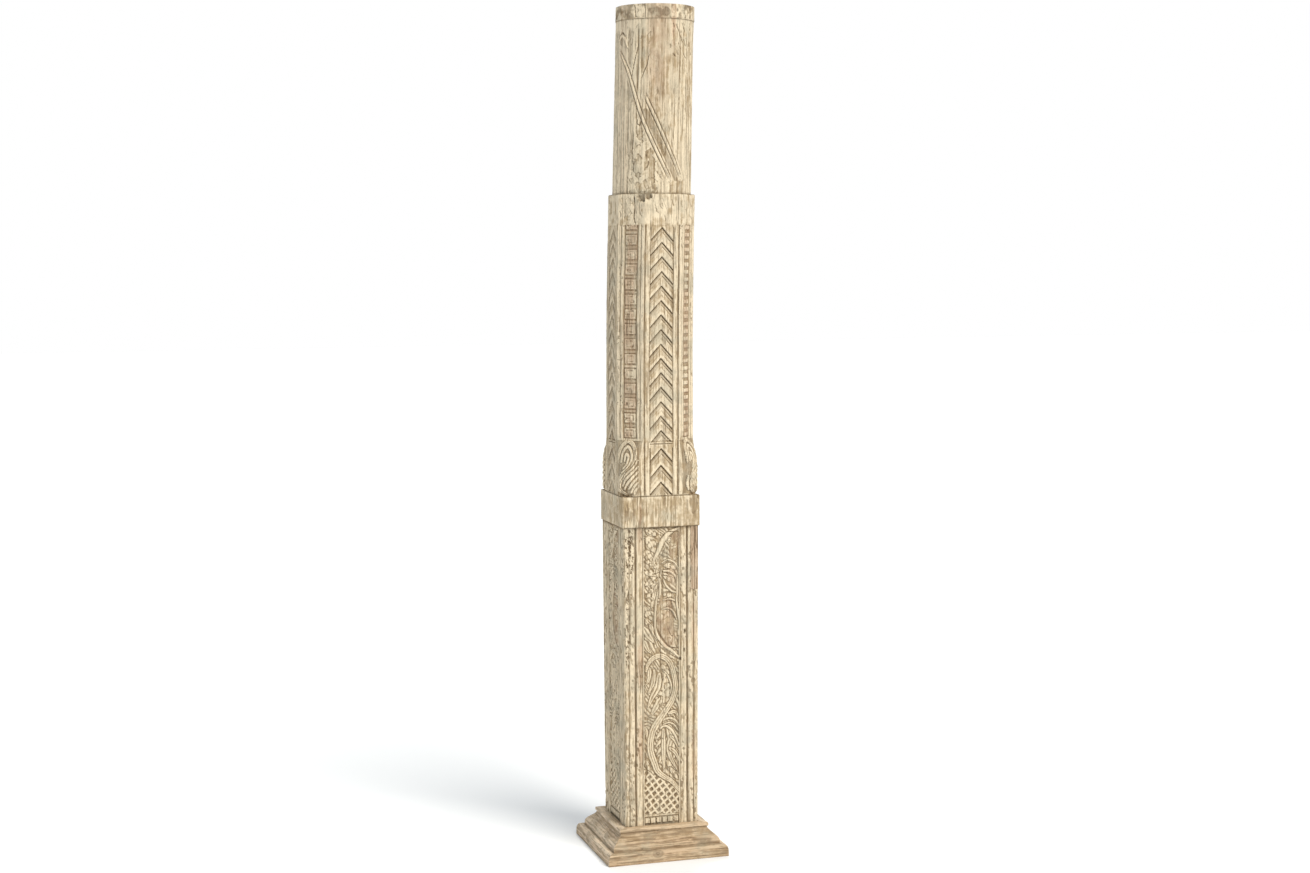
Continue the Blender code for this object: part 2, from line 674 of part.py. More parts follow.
def corner_patch():
    """The strip of newer wood let into the right front corner, with two reeds on its face."""
    inner, back, low = patch_box(0.0)
    solid = Solid()

    def section(z):
        half = square_half(z) - 0.0006
        mid = (inner + half) / 2
        points = [(inner, -half), (mid - 0.0014, -half), (mid, -half + FINE_DEPTH), (mid + 0.0014, -half),
                  (half - ARRIS, -half), (half, -half + ARRIS), (half, back), (inner, back)]
        return [Vector((x, y, z)) for x, y in points]

    solid.loft([section(low), section(SQUARE_TOP - 2 * CLEARANCE)])
    return solid.mesh_object("corner_patch")


def plinth_profile():
    """Half width and height up the moulding: fascia with a rounded edge, step, ogee, fillet."""
    points = [(PLINTH_HALF, 0.0)]
    for i in range(5):
        turn = pi / 2 * i / 4
        points.append((PLINTH_HALF - FASCIA_ROUND * (1 - cos(turn)),
                       FASCIA_HEIGHT - FASCIA_ROUND * 2 * (1 - sin(turn))))
    start = PLINTH_HALF - FASCIA_ROUND - FASCIA_STEP
    points.append((start, FASCIA_HEIGHT + 0.0015))
    ogee_top = PLINTH_HEIGHT - TOP_FILLET
    for i in range(1, 9):
        share = i / 9
        straight = start + (OGEE_HALF - start) * share
        points.append((straight + OGEE_SWELL * sin(2 * pi * share * 0.85),
                       FASCIA_HEIGHT + 0.0015 + (ogee_top - FASCIA_HEIGHT - 0.0015) * share))
    points += [(OGEE_HALF, ogee_top), (OGEE_HALF - 0.001, PLINTH_HEIGHT)]
    return points


def plinth_length(name, degrees):
    """One mitred length of the moulding, lying against one side of the shaft."""
    inner = FOOT_HALF + CLEARANCE
    side = Side(degrees, lambda u, z: 0.0)
    profile = [(inner, 0.0)] + plinth_profile() + [(inner, PLINTH_HEIGHT)]
    solid = Solid()
    mitre = CLEARANCE / 2 * sqrt(2)
    solid.loft([[side.at(hand * (half - mitre), z, half) for half, z in profile] for hand in (-1, 1)])
    return solid.mesh_object(name)


def finish(thing, paint):
    thing.data.materials.clear()
    thing.data.materials.append(paint)


def build():
    for thing in list(bpy.data.objects):
        bpy.data.objects.remove(thing)
    timber_wood = material("limed_teak", (0.57, 0.47, 0.33), 0.85)
    plinth_wood = material("plinth_teak", (0.55, 0.42, 0.27), 0.80)
    patch_wood = material("patch_teak", (0.44, 0.33, 0.22), 0.85)
    shaft = timber()
    carve_square_zone(shaft)
    carve_lower_panels(shaft)
    carve_chevron_panels(shaft)
    carve_corner_strips(shaft)
    carve_stop_leaves(shaft)
    head(shaft)
    carve_ribbon(shaft)
    break_shoulder(shaft)
    cut_patch_seat(shaft)
    lean(shaft)
    finish(shaft, timber_wood)
    finish(corner_patch(), patch_wood)
    for name, turn in zip(("plinth_front", "plinth_right", "plinth_back", "plinth_left"), SIDES):
        finish(plinth_length(name, turn), plinth_wood)


build()
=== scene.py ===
"""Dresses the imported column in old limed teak, with its carving, plinth, stage and camera."""
from math import cos, pi, radians, sin, sqrt, tan

import bpy
import numpy as np
from bpy.props import FloatProperty, FloatVectorProperty, PointerProperty
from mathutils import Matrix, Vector


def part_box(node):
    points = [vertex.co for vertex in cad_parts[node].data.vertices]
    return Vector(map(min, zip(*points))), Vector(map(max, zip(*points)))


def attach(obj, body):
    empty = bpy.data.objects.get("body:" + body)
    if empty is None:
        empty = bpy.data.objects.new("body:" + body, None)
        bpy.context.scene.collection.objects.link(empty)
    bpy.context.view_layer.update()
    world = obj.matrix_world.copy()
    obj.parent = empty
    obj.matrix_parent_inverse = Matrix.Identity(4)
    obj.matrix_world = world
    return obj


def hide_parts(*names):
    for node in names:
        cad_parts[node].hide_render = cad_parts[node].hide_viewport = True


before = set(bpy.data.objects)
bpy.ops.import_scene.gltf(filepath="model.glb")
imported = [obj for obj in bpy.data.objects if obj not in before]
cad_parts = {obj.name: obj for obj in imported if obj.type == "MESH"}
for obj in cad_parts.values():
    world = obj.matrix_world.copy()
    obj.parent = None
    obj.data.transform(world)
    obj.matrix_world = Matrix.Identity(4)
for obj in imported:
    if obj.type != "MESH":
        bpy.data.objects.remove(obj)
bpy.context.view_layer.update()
SHAFT_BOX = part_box("shaft")
PLINTH_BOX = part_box("plinth_front")
PATCH_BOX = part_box("corner_patch")

bl_info = {
    "name": "Carved column",
    "version": (1, 0, 0),
    "blender": (4, 5, 0),
    "location": "3D View > Sidebar > Column",
    "description": "Dresses the packed column in old limed teak and sets its stage",
    "category": "Object",
}

CLEARANCE = 0.0003
LEAN_HEADING = radians(-17)
# Shares of the lean, from the collar up to the top.
LEAN_SHARES = (0.0, 0.045, 0.12, 0.24, 0.41, 0.65, 1.0)
# How far each length of the shaft runs into the next.
TENON = 0.004
SIDES = (0, 90, 180, 270)
# The most faces a length of the shaft may keep, counted as triangles.
TRIANGLES = 185000
# Points across a main side and across a cut corner, and round the head.
SQUARE_POINTS, STOP_POINTS, OCTAGON_POINTS = (150, 5), (104, 56), (84, 66)
HEAD_POINTS = 440
# Height from one ring of points to the next.
SQUARE_ROW, COLLAR_ROW, STOP_ROW, OCTAGON_ROW, HEAD_ROW = 0.0015, 0.0016, 0.0011, 0.0013, 0.0015
CHEVRON_PITCH, LOW_CHEVRON_PITCH = 0.0371, 0.0430
CHEVRON_SLOPE = tan(radians(48))
# Squares up a corner strip, and up the smaller ones on the right and the hidden left.
STRIP_SQUARES, SMALL_SQUARES = 14.5, 29
GRAIN_SEED = 200
# Depths at which a broad hollow and a fine one are fully darkened by old finish and painted shade, and a
# ridge is worn pale.
BROAD_HOLLOW, FINE_HOLLOW, WORN_RIDGE = 0.0014, 0.0005, 0.0012
# Where the heart of the tree lies in the sawn top, and the headings of the cracks from it.
HEART = (0.012, -0.008)
HEART_CRACKS = (0.4, 1.5, 2.3, 3.6, 4.9, 5.6)


def length(name, default, description):
    """A length in metres that a user may change."""
    return FloatProperty(name=name, description=description, default=default, min=0.0, unit="LENGTH")


def colour(name, default, description):
    """A colour that a user may change."""
    return FloatVectorProperty(name=name, description=description, default=default, size=3,
                               min=0.0, max=1.0, subtype="COLOR")


class ColumnSizes(bpy.types.PropertyGroup):
    """Heights of the zones of the shaft and its half widths"""
    plinth_top: length("Plinth top", PLINTH_BOX[1].z, "Height of the moulding round the foot")
    square_top: length("Square top", PATCH_BOX[1].z + 2 * CLEARANCE,
                       "Where the square shaft meets the collar")
    collar_top: length("Collar top", 0.947, "Upper edge of the plain collar")
    stop_top: length("Stop top", 1.090, "Where the corner leaves end and eight sides begin")
    carved_top: length("Carved top", 1.643, "Where the chevrons and the corner strips end")
    plain_top: length("Plain top", 1.722, "The shoulder under the round head")
    rim_foot: length("Rim foot", 2.163, "Where the rim round the top begins")
    top: length("Top", SHAFT_BOX[1].z, "Top of the column")
    foot_half: length("Foot half width", 0.0990, "Half width of the square shaft at the plinth")
    square_half: length("Square half width", 0.1018, "Half width of the square shaft at the collar")
    collar_half: length("Collar half width", 0.1046, "Half width of the collar")
    stop_half: length("Stop half width", 0.1044, "Half width at the corner leaves")
    octagon_foot: length("Octagon foot half width", 0.1038,
                         "Half the width across the flats, above the stops")
    octagon_half: length("Octagon half width", 0.1026, "Half the width across the flats, at the shoulder")
    corner_cut: length("Corner cut", 0.0545, "How far each corner is cut away above the stops")
    stop_cut: length("Stop cut", 0.0230, "How far each corner is cut away at the leaves")
    arris: length("Arris", 0.0035, "Width of the worn corner of the square shaft")
    head_foot: length("Head foot radius", 0.1018, "Radius of the round head at the shoulder")
    head_top: length("Head top radius", 0.1002, "Radius of the round head under the rim")
    rim: length("Rim radius", 0.1014, "Radius of the rim")
    lean: length("Lean", 0.0193, "How far the crooked timber leans to the right at its top")


class CarvingSizes(bpy.types.PropertyGroup):
    """Strips, panels and depths of the carving"""
    panel_half: length("Panel half width", 0.047, "Half width of the sunk scroll panel")
    panel_depth: length("Panel depth", 0.0052, "Depth of the scroll panel's ground")
    bead: length("Bead", 0.004, "Plain line between the panel and the ridge")
    ridge: length("Ridge", 0.016, "Width of the ridge beside the panel")
    groove: length("Groove", 0.006, "Width of the groove beside the corner strip")
    groove_depth: length("Groove depth", 0.0055, "Depth of that groove")
    fine: length("Fine groove", 0.0028, "Width of the fine grooves")
    fine_depth: length("Fine depth", 0.0018, "Depth of the fine grooves")
    chevron_half: length("Chevron half width", 0.0305, "Half width of the chevron panel")
    chevron_depth: length("Chevron depth", 0.0045, "Depth of the chevron cuts")
    rib: length("Rib", 0.0125, "Width of the rib beside the chevrons")
    strip_half: length("Strip half width", 0.0185, "Half width of the corner strip")
    strip_depth: length("Strip depth", 0.0030, "Depth of the corner strip's ground")


class WoodColours(bpy.types.PropertyGroup):
    """Colours of the limed teak"""
    lime: colour("Lime", (0.790, 0.665, 0.480), "Bleached and limed high places")
    wood: colour("Wood", (0.450, 0.335, 0.200), "Dry old teak")
    # Brown also stands for the painted shade in hollows and creases.
    brown: colour("Brown", (0.107, 0.066, 0.031), "Old finish and dirt in the cuts")
    rust: colour("Rust", (0.434, 0.240, 0.135), "Reddish remains of paint and stain")
    moss: colour("Grey", (0.352, 0.328, 0.242), "Greenish grey weathering")


def ease(x, low, high):
    """A smooth step from 0 to 1 between two values, which may run downwards."""
    t = np.clip((x - low) / (high - low), 0.0, 1.0)
    return t * t * (3 - 2 * t)


def bump(x, middle, half):
    """1 in the middle of a line, falling to 0 at its edges."""
    return np.clip(1 - ((x - middle) / half) ** 2, 0.0, 1.0)


def noise(x, y, seed):
    """Smooth noise between 0 and 1."""
    table = np.random.default_rng(seed).random((256, 256))
    x, y = np.broadcast_arrays(x, y)
    i, j = np.floor(x).astype(int), np.floor(y).astype(int)
    s, t = x - i, y - j
    s, t = s * s * (3 - 2 * s), t * t * (3 - 2 * t)
    i, j, i1, j1 = i & 255, j & 255, (i + 1) & 255, (j + 1) & 255
    low = table[i, j] * (1 - s) + table[i1, j] * s
    high = table[i, j1] * (1 - s) + table[i1, j1] * s
    return low * (1 - t) + high * t


def layers(x, y, seed, count=3):
    """Noise in layers, each half as strong and twice as fine."""
    total, weight = 0.0, 0.0
    for k in range(count):
        total = total + noise(x * 2 ** k, y * 2 ** k, seed + k) / 2 ** k
        weight += 1 / 2 ** k
    return total / weight


def cells(x, y, seed):
    """Distance to the nearest and the second nearest of scattered points, and a value per cell."""
    chance = np.random.default_rng(seed)
    jx, jy, kind = chance.random((3, 64, 64))
    x, y = np.broadcast_arrays(x, y)
    i, j = np.floor(x).astype(int), np.floor(y).astype(int)
    first, second = np.full(x.shape, 9.0), np.full(x.shape, 9.0)
    value = np.zeros(x.shape)
    for di in (-1, 0, 1):
        for dj in (-1, 0, 1):
            a, b = (i + di) & 63, (j + dj) & 63
            d = np.hypot(x - (i + di) - jx[a, b], y - (j + dj) - jy[a, b])
            nearer = d < first
            second = np.where(nearer, first, np.minimum(second, d))
            value = np.where(nearer, kind[a, b], value)
            first = np.where(nearer, d, first)
    return first, second, value


def smooth(points, per_span=8):
    """Points along a smooth curve through a few control points."""
    p = np.array(points, float)
    p = np.vstack([2 * p[0] - p[1], p, 2 * p[-1] - p[-2]])
    out = []
    for i in range(1, len(p) - 2):
        for k in range(per_span):
            t = k / per_span
            out.append((2 * p[i] + (p[i + 1] - p[i - 1]) * t
                        + (2 * p[i - 1] - 5 * p[i] + 4 * p[i + 1] - p[i + 2]) * t * t
                        + (3 * p[i] - p[i - 1] - 3 * p[i + 1] + p[i + 2]) * t ** 3) / 2)
    return np.array(out + [p[-2]])


class Field:
    """Heights, stains and painted shade over the points of one side of the timber."""

    def __init__(self, u, z, seed):
        self.u, self.z, self.seed = u, z, seed
        self.height = np.zeros(u.shape)
        self.dirt_and_shade = np.zeros(u.shape)
        self.rust = np.zeros(u.shape)
        self.pale = np.zeros(u.shape)

    def soil_and_shade(self, amount, spot=...):
        """At least this much darkening: dirt, and in some places painted shade."""
        self.dirt_and_shade[spot] = np.maximum(self.dirt_and_shade[spot], amount)

    def redden(self, amount, spot=...):
        """At least this much rusty stain."""
        self.rust[spot] = np.maximum(self.rust[spot], amount)

    def whiten(self, amount, spot=...):
        """At least this much lime."""
        self.pale[spot] = np.maximum(self.pale[spot], amount)

    def noise(self, wide, tall, seed):
        """Smooth noise over the side, with waves of this size."""
        return noise(self.u / wide, self.z / tall, seed)

    def layers(self, wide, tall, seed, count=3):
        """Layered noise over the side, its broadest waves of this size."""
        return layers(self.u / wide, self.z / tall, seed, count)

    def near(self, path, reach):
        """The points in the box round a path."""
        low, high = path.min(0) - reach, path.max(0) + reach
        return (self.u > low[0]) & (self.u < high[0]) & (self.z > low[1]) & (self.z < high[1])

    def trace(self, path, reach):
        """Points near a path, with their distance from it, hand of it and share along it."""
        spot = self.near(path, reach)
        u, z = self.u[spot], self.z[spot]
        away, share, hand = np.full(u.shape, 9.0), np.zeros(u.shape), np.zeros(u.shape)
        steps = np.hypot(*np.diff(path, axis=0).T)
        total, run = steps.sum(), 0.0
        for (a, b), step in zip(zip(path[:-1], path[1:]), steps):
            d = b - a
            t = np.clip(((u - a[0]) * d[0] + (z - a[1]) * d[1]) / step ** 2, 0, 1)
            x, y = u - a[0] - t * d[0], z - a[1] - t * d[1]
            dist = np.hypot(x, y)
            nearer = dist < away
            away = np.where(nearer, dist, away)
            share = np.where(nearer, (run + t * step) / total, share)
            hand = np.where(nearer, np.sign(d[0] * y - d[1] * x), hand)
            run += step
        return spot, away, share, hand

    def cut(self, path, width, depth, dirt_and_shade=0.8):
        """A cut, crack or scored line along a path."""
        spot, away, share, _ = self.trace(np.asarray(path, float), width * 2)
        ends = np.clip(np.minimum(share, 1 - share) * 12, 0.15, 1)
        shape = np.clip(1 - away / (width * ends), 0, 1)
        self.height[spot] -= depth * shape ** 0.7 * ends
        self.soil_and_shade(dirt_and_shade * ease(shape, 0.0, 0.5), spot)

    def chip(self, u, z, wide, tall, depth, dirt_and_shade=0.0, lift=0.35):
        """A broken or worn hollow with a ragged edge."""
        ragged = lift * (layers(self.u / wide * 2.2, self.z / tall * 2.2, self.seed + 40) - 0.5)
        away = np.hypot((self.u - u) / wide, (self.z - z) / tall) + ragged
        shape = ease(away, 1.0, 0.75)
        self.height -= depth * shape
        self.soil_and_shade(dirt_and_shade * shape)

    def strokes(self, u, z, wide, tall, count, slant, seed, depth=0.0018):
        """Short slanting cuts scattered over a place."""
        chance = np.random.default_rng(seed)
        for _ in range(count):
            x, y, turn, long, thick = chance.random(5)
            x, y = u + (2 * x - 1) * wide, z + (2 * y - 1) * tall
            turn, long = slant + radians(34) * (turn - 0.5), 0.008 + 0.016 * long
            bend = (0.3 * long * (thick - 0.5) * cos(turn), -0.3 * long * (thick - 0.5) * sin(turn))
            path = smooth([(x, y), (x + long / 2 * sin(turn) + bend[0], y + long / 2 * cos(turn) + bend[1]),
                           (x + long * sin(turn), y + long * cos(turn))], 4)
            self.cut(path, 0.0010 + 0.0014 * thick, depth, 0.45 + 0.35 * thick)

    def stain(self, u, z, wide, tall, strength):
        """A rusty stain with a soft, uneven edge."""
        away = np.hypot((self.u - u) / wide, (self.z - z) / tall)
        away = away + 0.5 * (self.layers(0.006, 0.05, self.seed + 41) - 0.5)
        self.redden(strength * ease(away, 1.0, 0.5))


class Relief:
    """Raised carving over a sunk ground, each element cut round where it lies on the others."""

    def __init__(self, field, moat=0.0016):
        self.field, self.moat = field, moat
        self.rise = np.zeros(field.u.shape)

    def put(self, spot, rise, outside):
        """Lay an element over the rest; outside is the distance beyond its edge."""
        under = self.rise[spot]
        under = under * (0.15 + 0.85 * ease(outside, self.moat * 0.5, self.moat))
        edge = bump(outside, self.moat * 0.35, self.moat * 0.55) * (under > 0)
        self.field.dirt_and_shade[spot] = np.maximum(self.field.dirt_and_shade[spot] * ease(outside, -0.0008, 0.0), 0.62 * edge)
        self.rise[spot] = np.maximum(under, rise)

    def stem(self, path, widths, relief, lines=2):
        """A rounded stem with scored lines along it; widths are spread along the path."""
        path = smooth(path)
        spot, away, share, hand = self.field.trace(path, max(widths) * 0.5 + 0.003)
        half = np.interp(share, np.linspace(0, 1, len(widths)), widths) / 2
        x = away / half
        rise = relief * (0.35 + 0.65 * np.sqrt(np.clip(1 - x ** 2, 0, 1)))
        for k in range(lines):
            place = (k + 1) / (lines + 1) * 2 - 1
            rise = rise - relief * 0.50 * np.exp(-((x * hand - place) / 0.15) ** 2)
        self.put(spot, rise * ease(x, 1.0, 0.94), away - half)

    def leaf(self, path, width, relief, lobes=4, veins=0.45):
        """A pointed leaf, cupped each side of its midrib, with a lobed edge and gouged veins."""
        path = smooth(path)
        spot, away, share, _ = self.field.trace(path, width * 0.85 + 0.003)
        saw = (share * lobes) % 1.0
        notch = 1 - 0.36 * (1 - saw) ** 3 if lobes else 1.0
        half = width * 0.78 * np.sin(pi * np.clip(share, 0.02, 0.98) ** 0.8) ** 0.6 * notch
        x = away / np.maximum(half, 1e-6)
        rise = relief * (0.62 + 0.30 * np.clip(x, 0, 1) ** 2 + 0.38 * np.exp(-(x / 0.18) ** 2))
        if lobes:
            slant = np.cos(2 * pi * (share * lobes - 0.40 * x + 0.1))
            rise = rise - relief * veins * ease(slant, 0.25, 1.0) * ease(x, 0.10, 0.30)
        self.put(spot, rise * ease(x, 1.0, 0.90), away - half)

    def blade(self, path, width, relief, strands=3):
        """A broad blade cut into strands that run along it and taper to its tip."""
        path = smooth(path)
        spot, away, share, hand = self.field.trace(path, width * 0.65 + 0.003)
        half = width * 0.64 * np.clip(1 - share ** 2.4, 0.03, 1) * (0.6 + 0.4 * ease(share, 0, 0.15))
        x = away / half * hand
        wave = 0.5 + 0.5 * np.cos(pi * strands * (x + 1) + pi)
        rise = relief * (0.42 + 0.58 * wave ** 0.6) * (0.92 + 0.08 * x)
        self.put(spot, rise * ease(np.abs(x), 1.0, 0.93), away - half)

    def mound(self, path, width, relief):
        """A smooth swelling."""
        path = smooth(path)
        spot, away, share, hand = self.field.trace(path, width * 0.5 + 0.003)
        half = width / 2 * np.sin(pi * np.clip(share, 0.03, 0.97)) ** 0.5
        x = away / half
        curl = (share * 9 + 2.2 * x ** 2 * hand + 1.4 * noise(share * 6, x * 3, 17)) % 1.0
        carved = 1 - 0.45 * bump(curl, 0.5, 0.16) * ease(x, 1.0, 0.85)
        self.put(spot, relief * np.sqrt(np.clip(1 - x ** 2, 0, 1)) ** 0.6 * carved, away - half)


# The scroll of the lower panel, in millimetres across from its middle and up from the plinth,
# on a panel of 94 by 784. Each is given with its width, and its strands, lobes or lines.
PANEL_WIDE, PANEL_TALL = 94.0, 784.0
STEM = [(52, 82), (29, 110), (9, 124), (-10, 140), (-19, 162), (-27, 184), (-31, 207), (-29, 229), (-23, 251),
        (-12, 269), (2, 288), (16, 307), (29, 327), (36, 349), (38, 370), (34, 396), (24, 425), (9, 441),
        (-8, 446), (-24, 440), (-36, 427), (-42, 408)]
STEM_WIDTHS = (9, 11, 13, 16, 18, 17, 18, 19, 17, 15, 15, 15, 14, 15, 14, 12, 7)
STEMS = [
    ([(6, 138), (6, 170), (5, 210), (5, 250)], (4, 11, 13, 7), 1),
    ([(4, 407), (14, 398), (22, 382), (27, 362), (24, 345)], (3, 5, 5, 4), 0),
    ([(-4, 254), (6, 260), (16, 258), (29, 246), (40, 226), (48, 204)], (5, 7, 7, 6, 4), 0),
    ([(4, 264), (20, 268), (34, 262), (45, 246)], (3, 4, 4, 3), 0),
    ([(0, 272), (8, 277), (20, 280), (36, 275), (47, 260)], (4, 6, 6, 4), 0),
    ([(51, 437), (29, 458), (9, 473), (-7, 494), (-16, 515), (-17, 545), (-15, 575), (-12, 600), (-6, 625)],
     (4, 7, 8, 8, 7, 6, 6, 5, 4), 0),
    ([(2, 568), (18, 571), (32, 562), (42, 540)], (3, 5, 5, 3), 0),
    ([(4, 592), (22, 595), (42, 588)], (3, 5, 4), 0),
    ([(6, 646), (14, 630), (28, 616), (40, 611)], (4, 6, 5, 4), 0),
    ([(6, 669), (24, 667), (40, 652), (46, 630)], (4, 6, 6, 5), 0),
    ([(2, 690), (18, 698), (36, 690), (46, 676)], (3, 4, 4, 3), 0),
    ([(44, 655), (44, 620), (42, 590), (45, 560), (49, 530), (46, 500)], (4, 6, 6, 6, 4), 0),
    ([(-5, 648), (-3, 625), (-5, 600)], (5, 9, 6), 0),
    ([(48, 780), (24, 769), (10, 755), (1, 741), (-7, 722), (-16, 705), (-23, 692)],
     (6, 9, 12, 14, 12, 9, 4), 0),
]
BLADES = [
    ([(6, 246), (-4, 240), (-16, 224)], 9, 1),
    ([(6, 225), (-4, 219), (-18, 203)], 9, 1),
    ([(6, 204), (-4, 198), (-15, 182)], 9, 1),
    ([(6, 184), (-1, 176), (-9, 160)], 8, 1),
    ([(16, 256), (24, 228), (19, 200), (26, 172), (48, 132)], 13, 2),
    ([(24, 232), (38, 218), (50, 186)], 9, 2),
    ([(22, 200), (38, 186), (51, 158)], 9, 2),
    ([(-6, 396), (-12, 362), (-26, 337), (-40, 304)], 16, 2),
    ([(-2, 334), (-16, 310), (-34, 284)], 14, 2),
    ([(-20, 408), (-23, 375), (-38, 345)], 11, 2),
    ([(-32, 414), (-34, 388), (-46, 366)], 9, 2),
    ([(-46, 520), (-34, 500), (-16, 478)], 14, 2),
    ([(-30, 528), (-20, 506), (-10, 486)], 9, 2),
    ([(-46, 486), (-38, 466), (-26, 452)], 10, 2),
    ([(20, 292), (36, 296), (48, 280)], 8, 2),
    ([(34, 340), (44, 322), (49, 300)], 7, 1),
]
LEAVES = [
    ([(20, 146), (25, 180), (23, 215), (15, 250)], 18, 5),
    ([(2, 318), (8, 345), (4, 372), (8, 398), (0, 424)], 26, 6),
    ([(-44, 786), (-30, 777), (-14, 762)], 13, 3),
    ([(-44, 758), (-28, 745), (-18, 718)], 16, 3),
    ([(-44, 726), (-34, 708), (-26, 692)], 13, 3),
    ([(-4, 676), (-22, 690), (-44, 696)], 12, 3),
    ([(-6, 670), (-26, 664), (-46, 668)], 12, 3),
    ([(-6, 662), (-22, 646), (-44, 634)], 13, 4),
    ([(-6, 652), (-20, 622), (-40, 600)], 13, 4),
    ([(-6, 640), (-16, 606), (-28, 572)], 12, 3),
    ([(-46, 580), (-38, 560), (-26, 540)], 12, 3),
    ([(-46, 548), (-34, 534), (-22, 520)], 10, 2),
    ([(4, 664), (16, 652), (28, 640)], 9, 2),
    ([(6, 682), (24, 682), (40, 672)], 9, 2),
    ([(16, 440), (30, 420), (48, 400)], 9, 2),
    ([(-46, 262), (-40, 244), (-38, 224)], 6, 0),
    ([(-46, 176), (-38, 156), (-30, 142)], 8, 2),
    ([(30, 140), (40, 120), (50, 104)], 8, 2),
    ([(22, 150), (34, 132), (46, 114)], 8, 2),
]
MOUNDS = [
    ([(34, 466), (18, 496), (8, 540), (12, 582), (22, 604)], 46, 0.62),
    ([(46, 776), (38, 748), (34, 716), (38, 700)], 26, 0.62),
]
SLITS = [
    ([(1, 389), (3, 382)], 3.4),
    ([(7, 367), (8, 359)], 3.4),
    ([(9, 353), (9, 346)], 3.0),
    ([(-3, 339), (-2, 332)], 3.0),
    ([(-6, 319), (-5, 312)], 2.8),
    ([(0, 150), (3, 144), (1, 139)], 3.4),
    ([(-2, 230), (4, 226)], 2.2),
    ([(44, 464), (30, 466), (17, 473), (3, 492), (-10, 514)], 5.0),
    ([(24, 522), (20, 512), (30, 496), (33, 508)], 2.0),
    ([(48, 770), (16, 770), (0, 755), (-8, 738)], 1.8),
    ([(12, 730), (4, 716), (-4, 702)], 1.8),
    ([(2, 612), (5, 606), (4, 600)], 3.2),
    ([(16, 600), (20, 596)], 2.6),
    ([(4, 658), (20, 655), (34, 650)], 2.2),
    ([(2, 700), (8, 706), (-4, 712)], 1.8),
]
EYELET = (21, 750, 6.5, 1.4)
STAR = (0, 673, 4.0, 0.9)


def scroll(field, sizes, carving, plain):
    """The climbing scroll with its leaves, pod and lattice, as heights above the panel's ground."""
    low = sizes.plinth_top
    wide, tall = 2 * carving.panel_half / PANEL_WIDE, (sizes.square_top - low) / PANEL_TALL

    def place(points):
        return [(x * wide, low + y * tall) for x, y in points]

    relief = Relief(field)
    top = carving.panel_depth * 0.95
    tendrils(relief, field, top * 0.62)
    lattice(relief, field, low, carving.panel_half, top * 0.75)
    for path, width, height in MOUNDS:
        path = place(path)
        relief.mound(path, width * wide, top * height)
        spot, away, share, _ = field.trace(smooth(path), width * wide)
        within = ease(away, width * wide * 0.50, width * wide * 0.40)
        within = within * ease(share, 0.0, 0.1) * ease(share, 1.0, 0.9)
        blotch = ease(layers(field.u[spot] / 0.012, field.z[spot] / 0.016, 16), 0.36, 0.58)
        field.redden(0.75 * within * blotch, spot)
        field.soil_and_shade(0.42 * within * blotch, spot)
    for path, width, lobes in LEAVES[:9] if plain else LEAVES:
        relief.leaf(place(path), width * wide, top * 0.84, lobes)
    for path, width, strands in BLADES[:11] if plain else BLADES:
        relief.blade(place(path), width * wide, top * 0.92, strands)
    for path, widths, lines in STEMS:
        relief.stem(place(path), [w * wide for w in widths], top * 0.94, lines)
    relief.stem(place(STEM), [w * wide for w in STEM_WIDTHS], top, 2)
    frieze(relief, field, low, carving.panel_half, top * 0.75)
    for x, y, radius, line in (EYELET, STAR):
        ring_u, ring_z = place([(x, y)])[0]
        du, dz = field.u - ring_u, field.z - ring_z
        away = np.hypot(du * 0.8 + dz * 0.6, (dz * 0.8 - du * 0.6) * 1.35) / wide
        relief.rise = np.maximum(relief.rise, top * 0.85 * ease(away, radius + 2.0, radius + 1.2))
        relief.rise = relief.rise - top * 0.7 * np.clip(1 - np.abs(away - radius * 0.75) / line, 0, 1)
        relief.rise = np.where(away < 1.4, 0.1 * top, relief.rise) if radius < 5 else relief.rise
    for path, width in SLITS:
        spot, away, share, _ = field.trace(smooth(place(path)), width * wide * 2)
        slit = ease(away, width * wide * 0.5, width * wide * 0.15)
        relief.rise[spot] -= top * 0.8 * slit
        field.soil_and_shade(slit, spot)
    return np.maximum(relief.rise, 0.0)


def tendrils(relief, field, rise):
    """Close curling strands that fill the ground between the larger forms."""
    u, z = field.u, field.z
    flow = (u * 0.75 + z * 0.66) / 0.0088 + 3.4 * field.layers(0.034, 0.042, 18, 2)
    strand = 0.5 + 0.5 * np.sin(2 * pi * flow)
    breaks = ease(field.layers(0.010, 0.013, 19, 2), 0.36, 0.46)
    relief.rise = rise * strand ** 0.7 * (0.35 + 0.65 * breaks)


def lattice(relief, field, low, half, rise):
    """Crossed bars under the stem, one set falling to the left and one to the right."""
    u, z = field.u, field.z
    one, two = radians(38), radians(-56)
    stray = 0.0015 * (field.layers(0.03, 0.03, 15, 2) - 0.5)
    first = (z * cos(one) - u * sin(one) + stray) / 0.0142
    second = (z * cos(two) - u * sin(two) + stray) / 0.0150
    bars = np.maximum(bump(first % 1.0, 0.5, 0.21), bump(second % 1.0, 0.5, 0.19))
    edge = (low + 0.120 - 0.62 * u) - z
    inside = ease(edge, 0.0, 0.002) * ease(z, low + 0.0265, low + 0.028) * ease(np.abs(u), half, half - 0.001)
    relief.rise = relief.rise * (1 - inside)
    relief.rise = np.maximum(relief.rise, rise * (bars > 0.02) * (0.55 + 0.45 * bars) * inside)


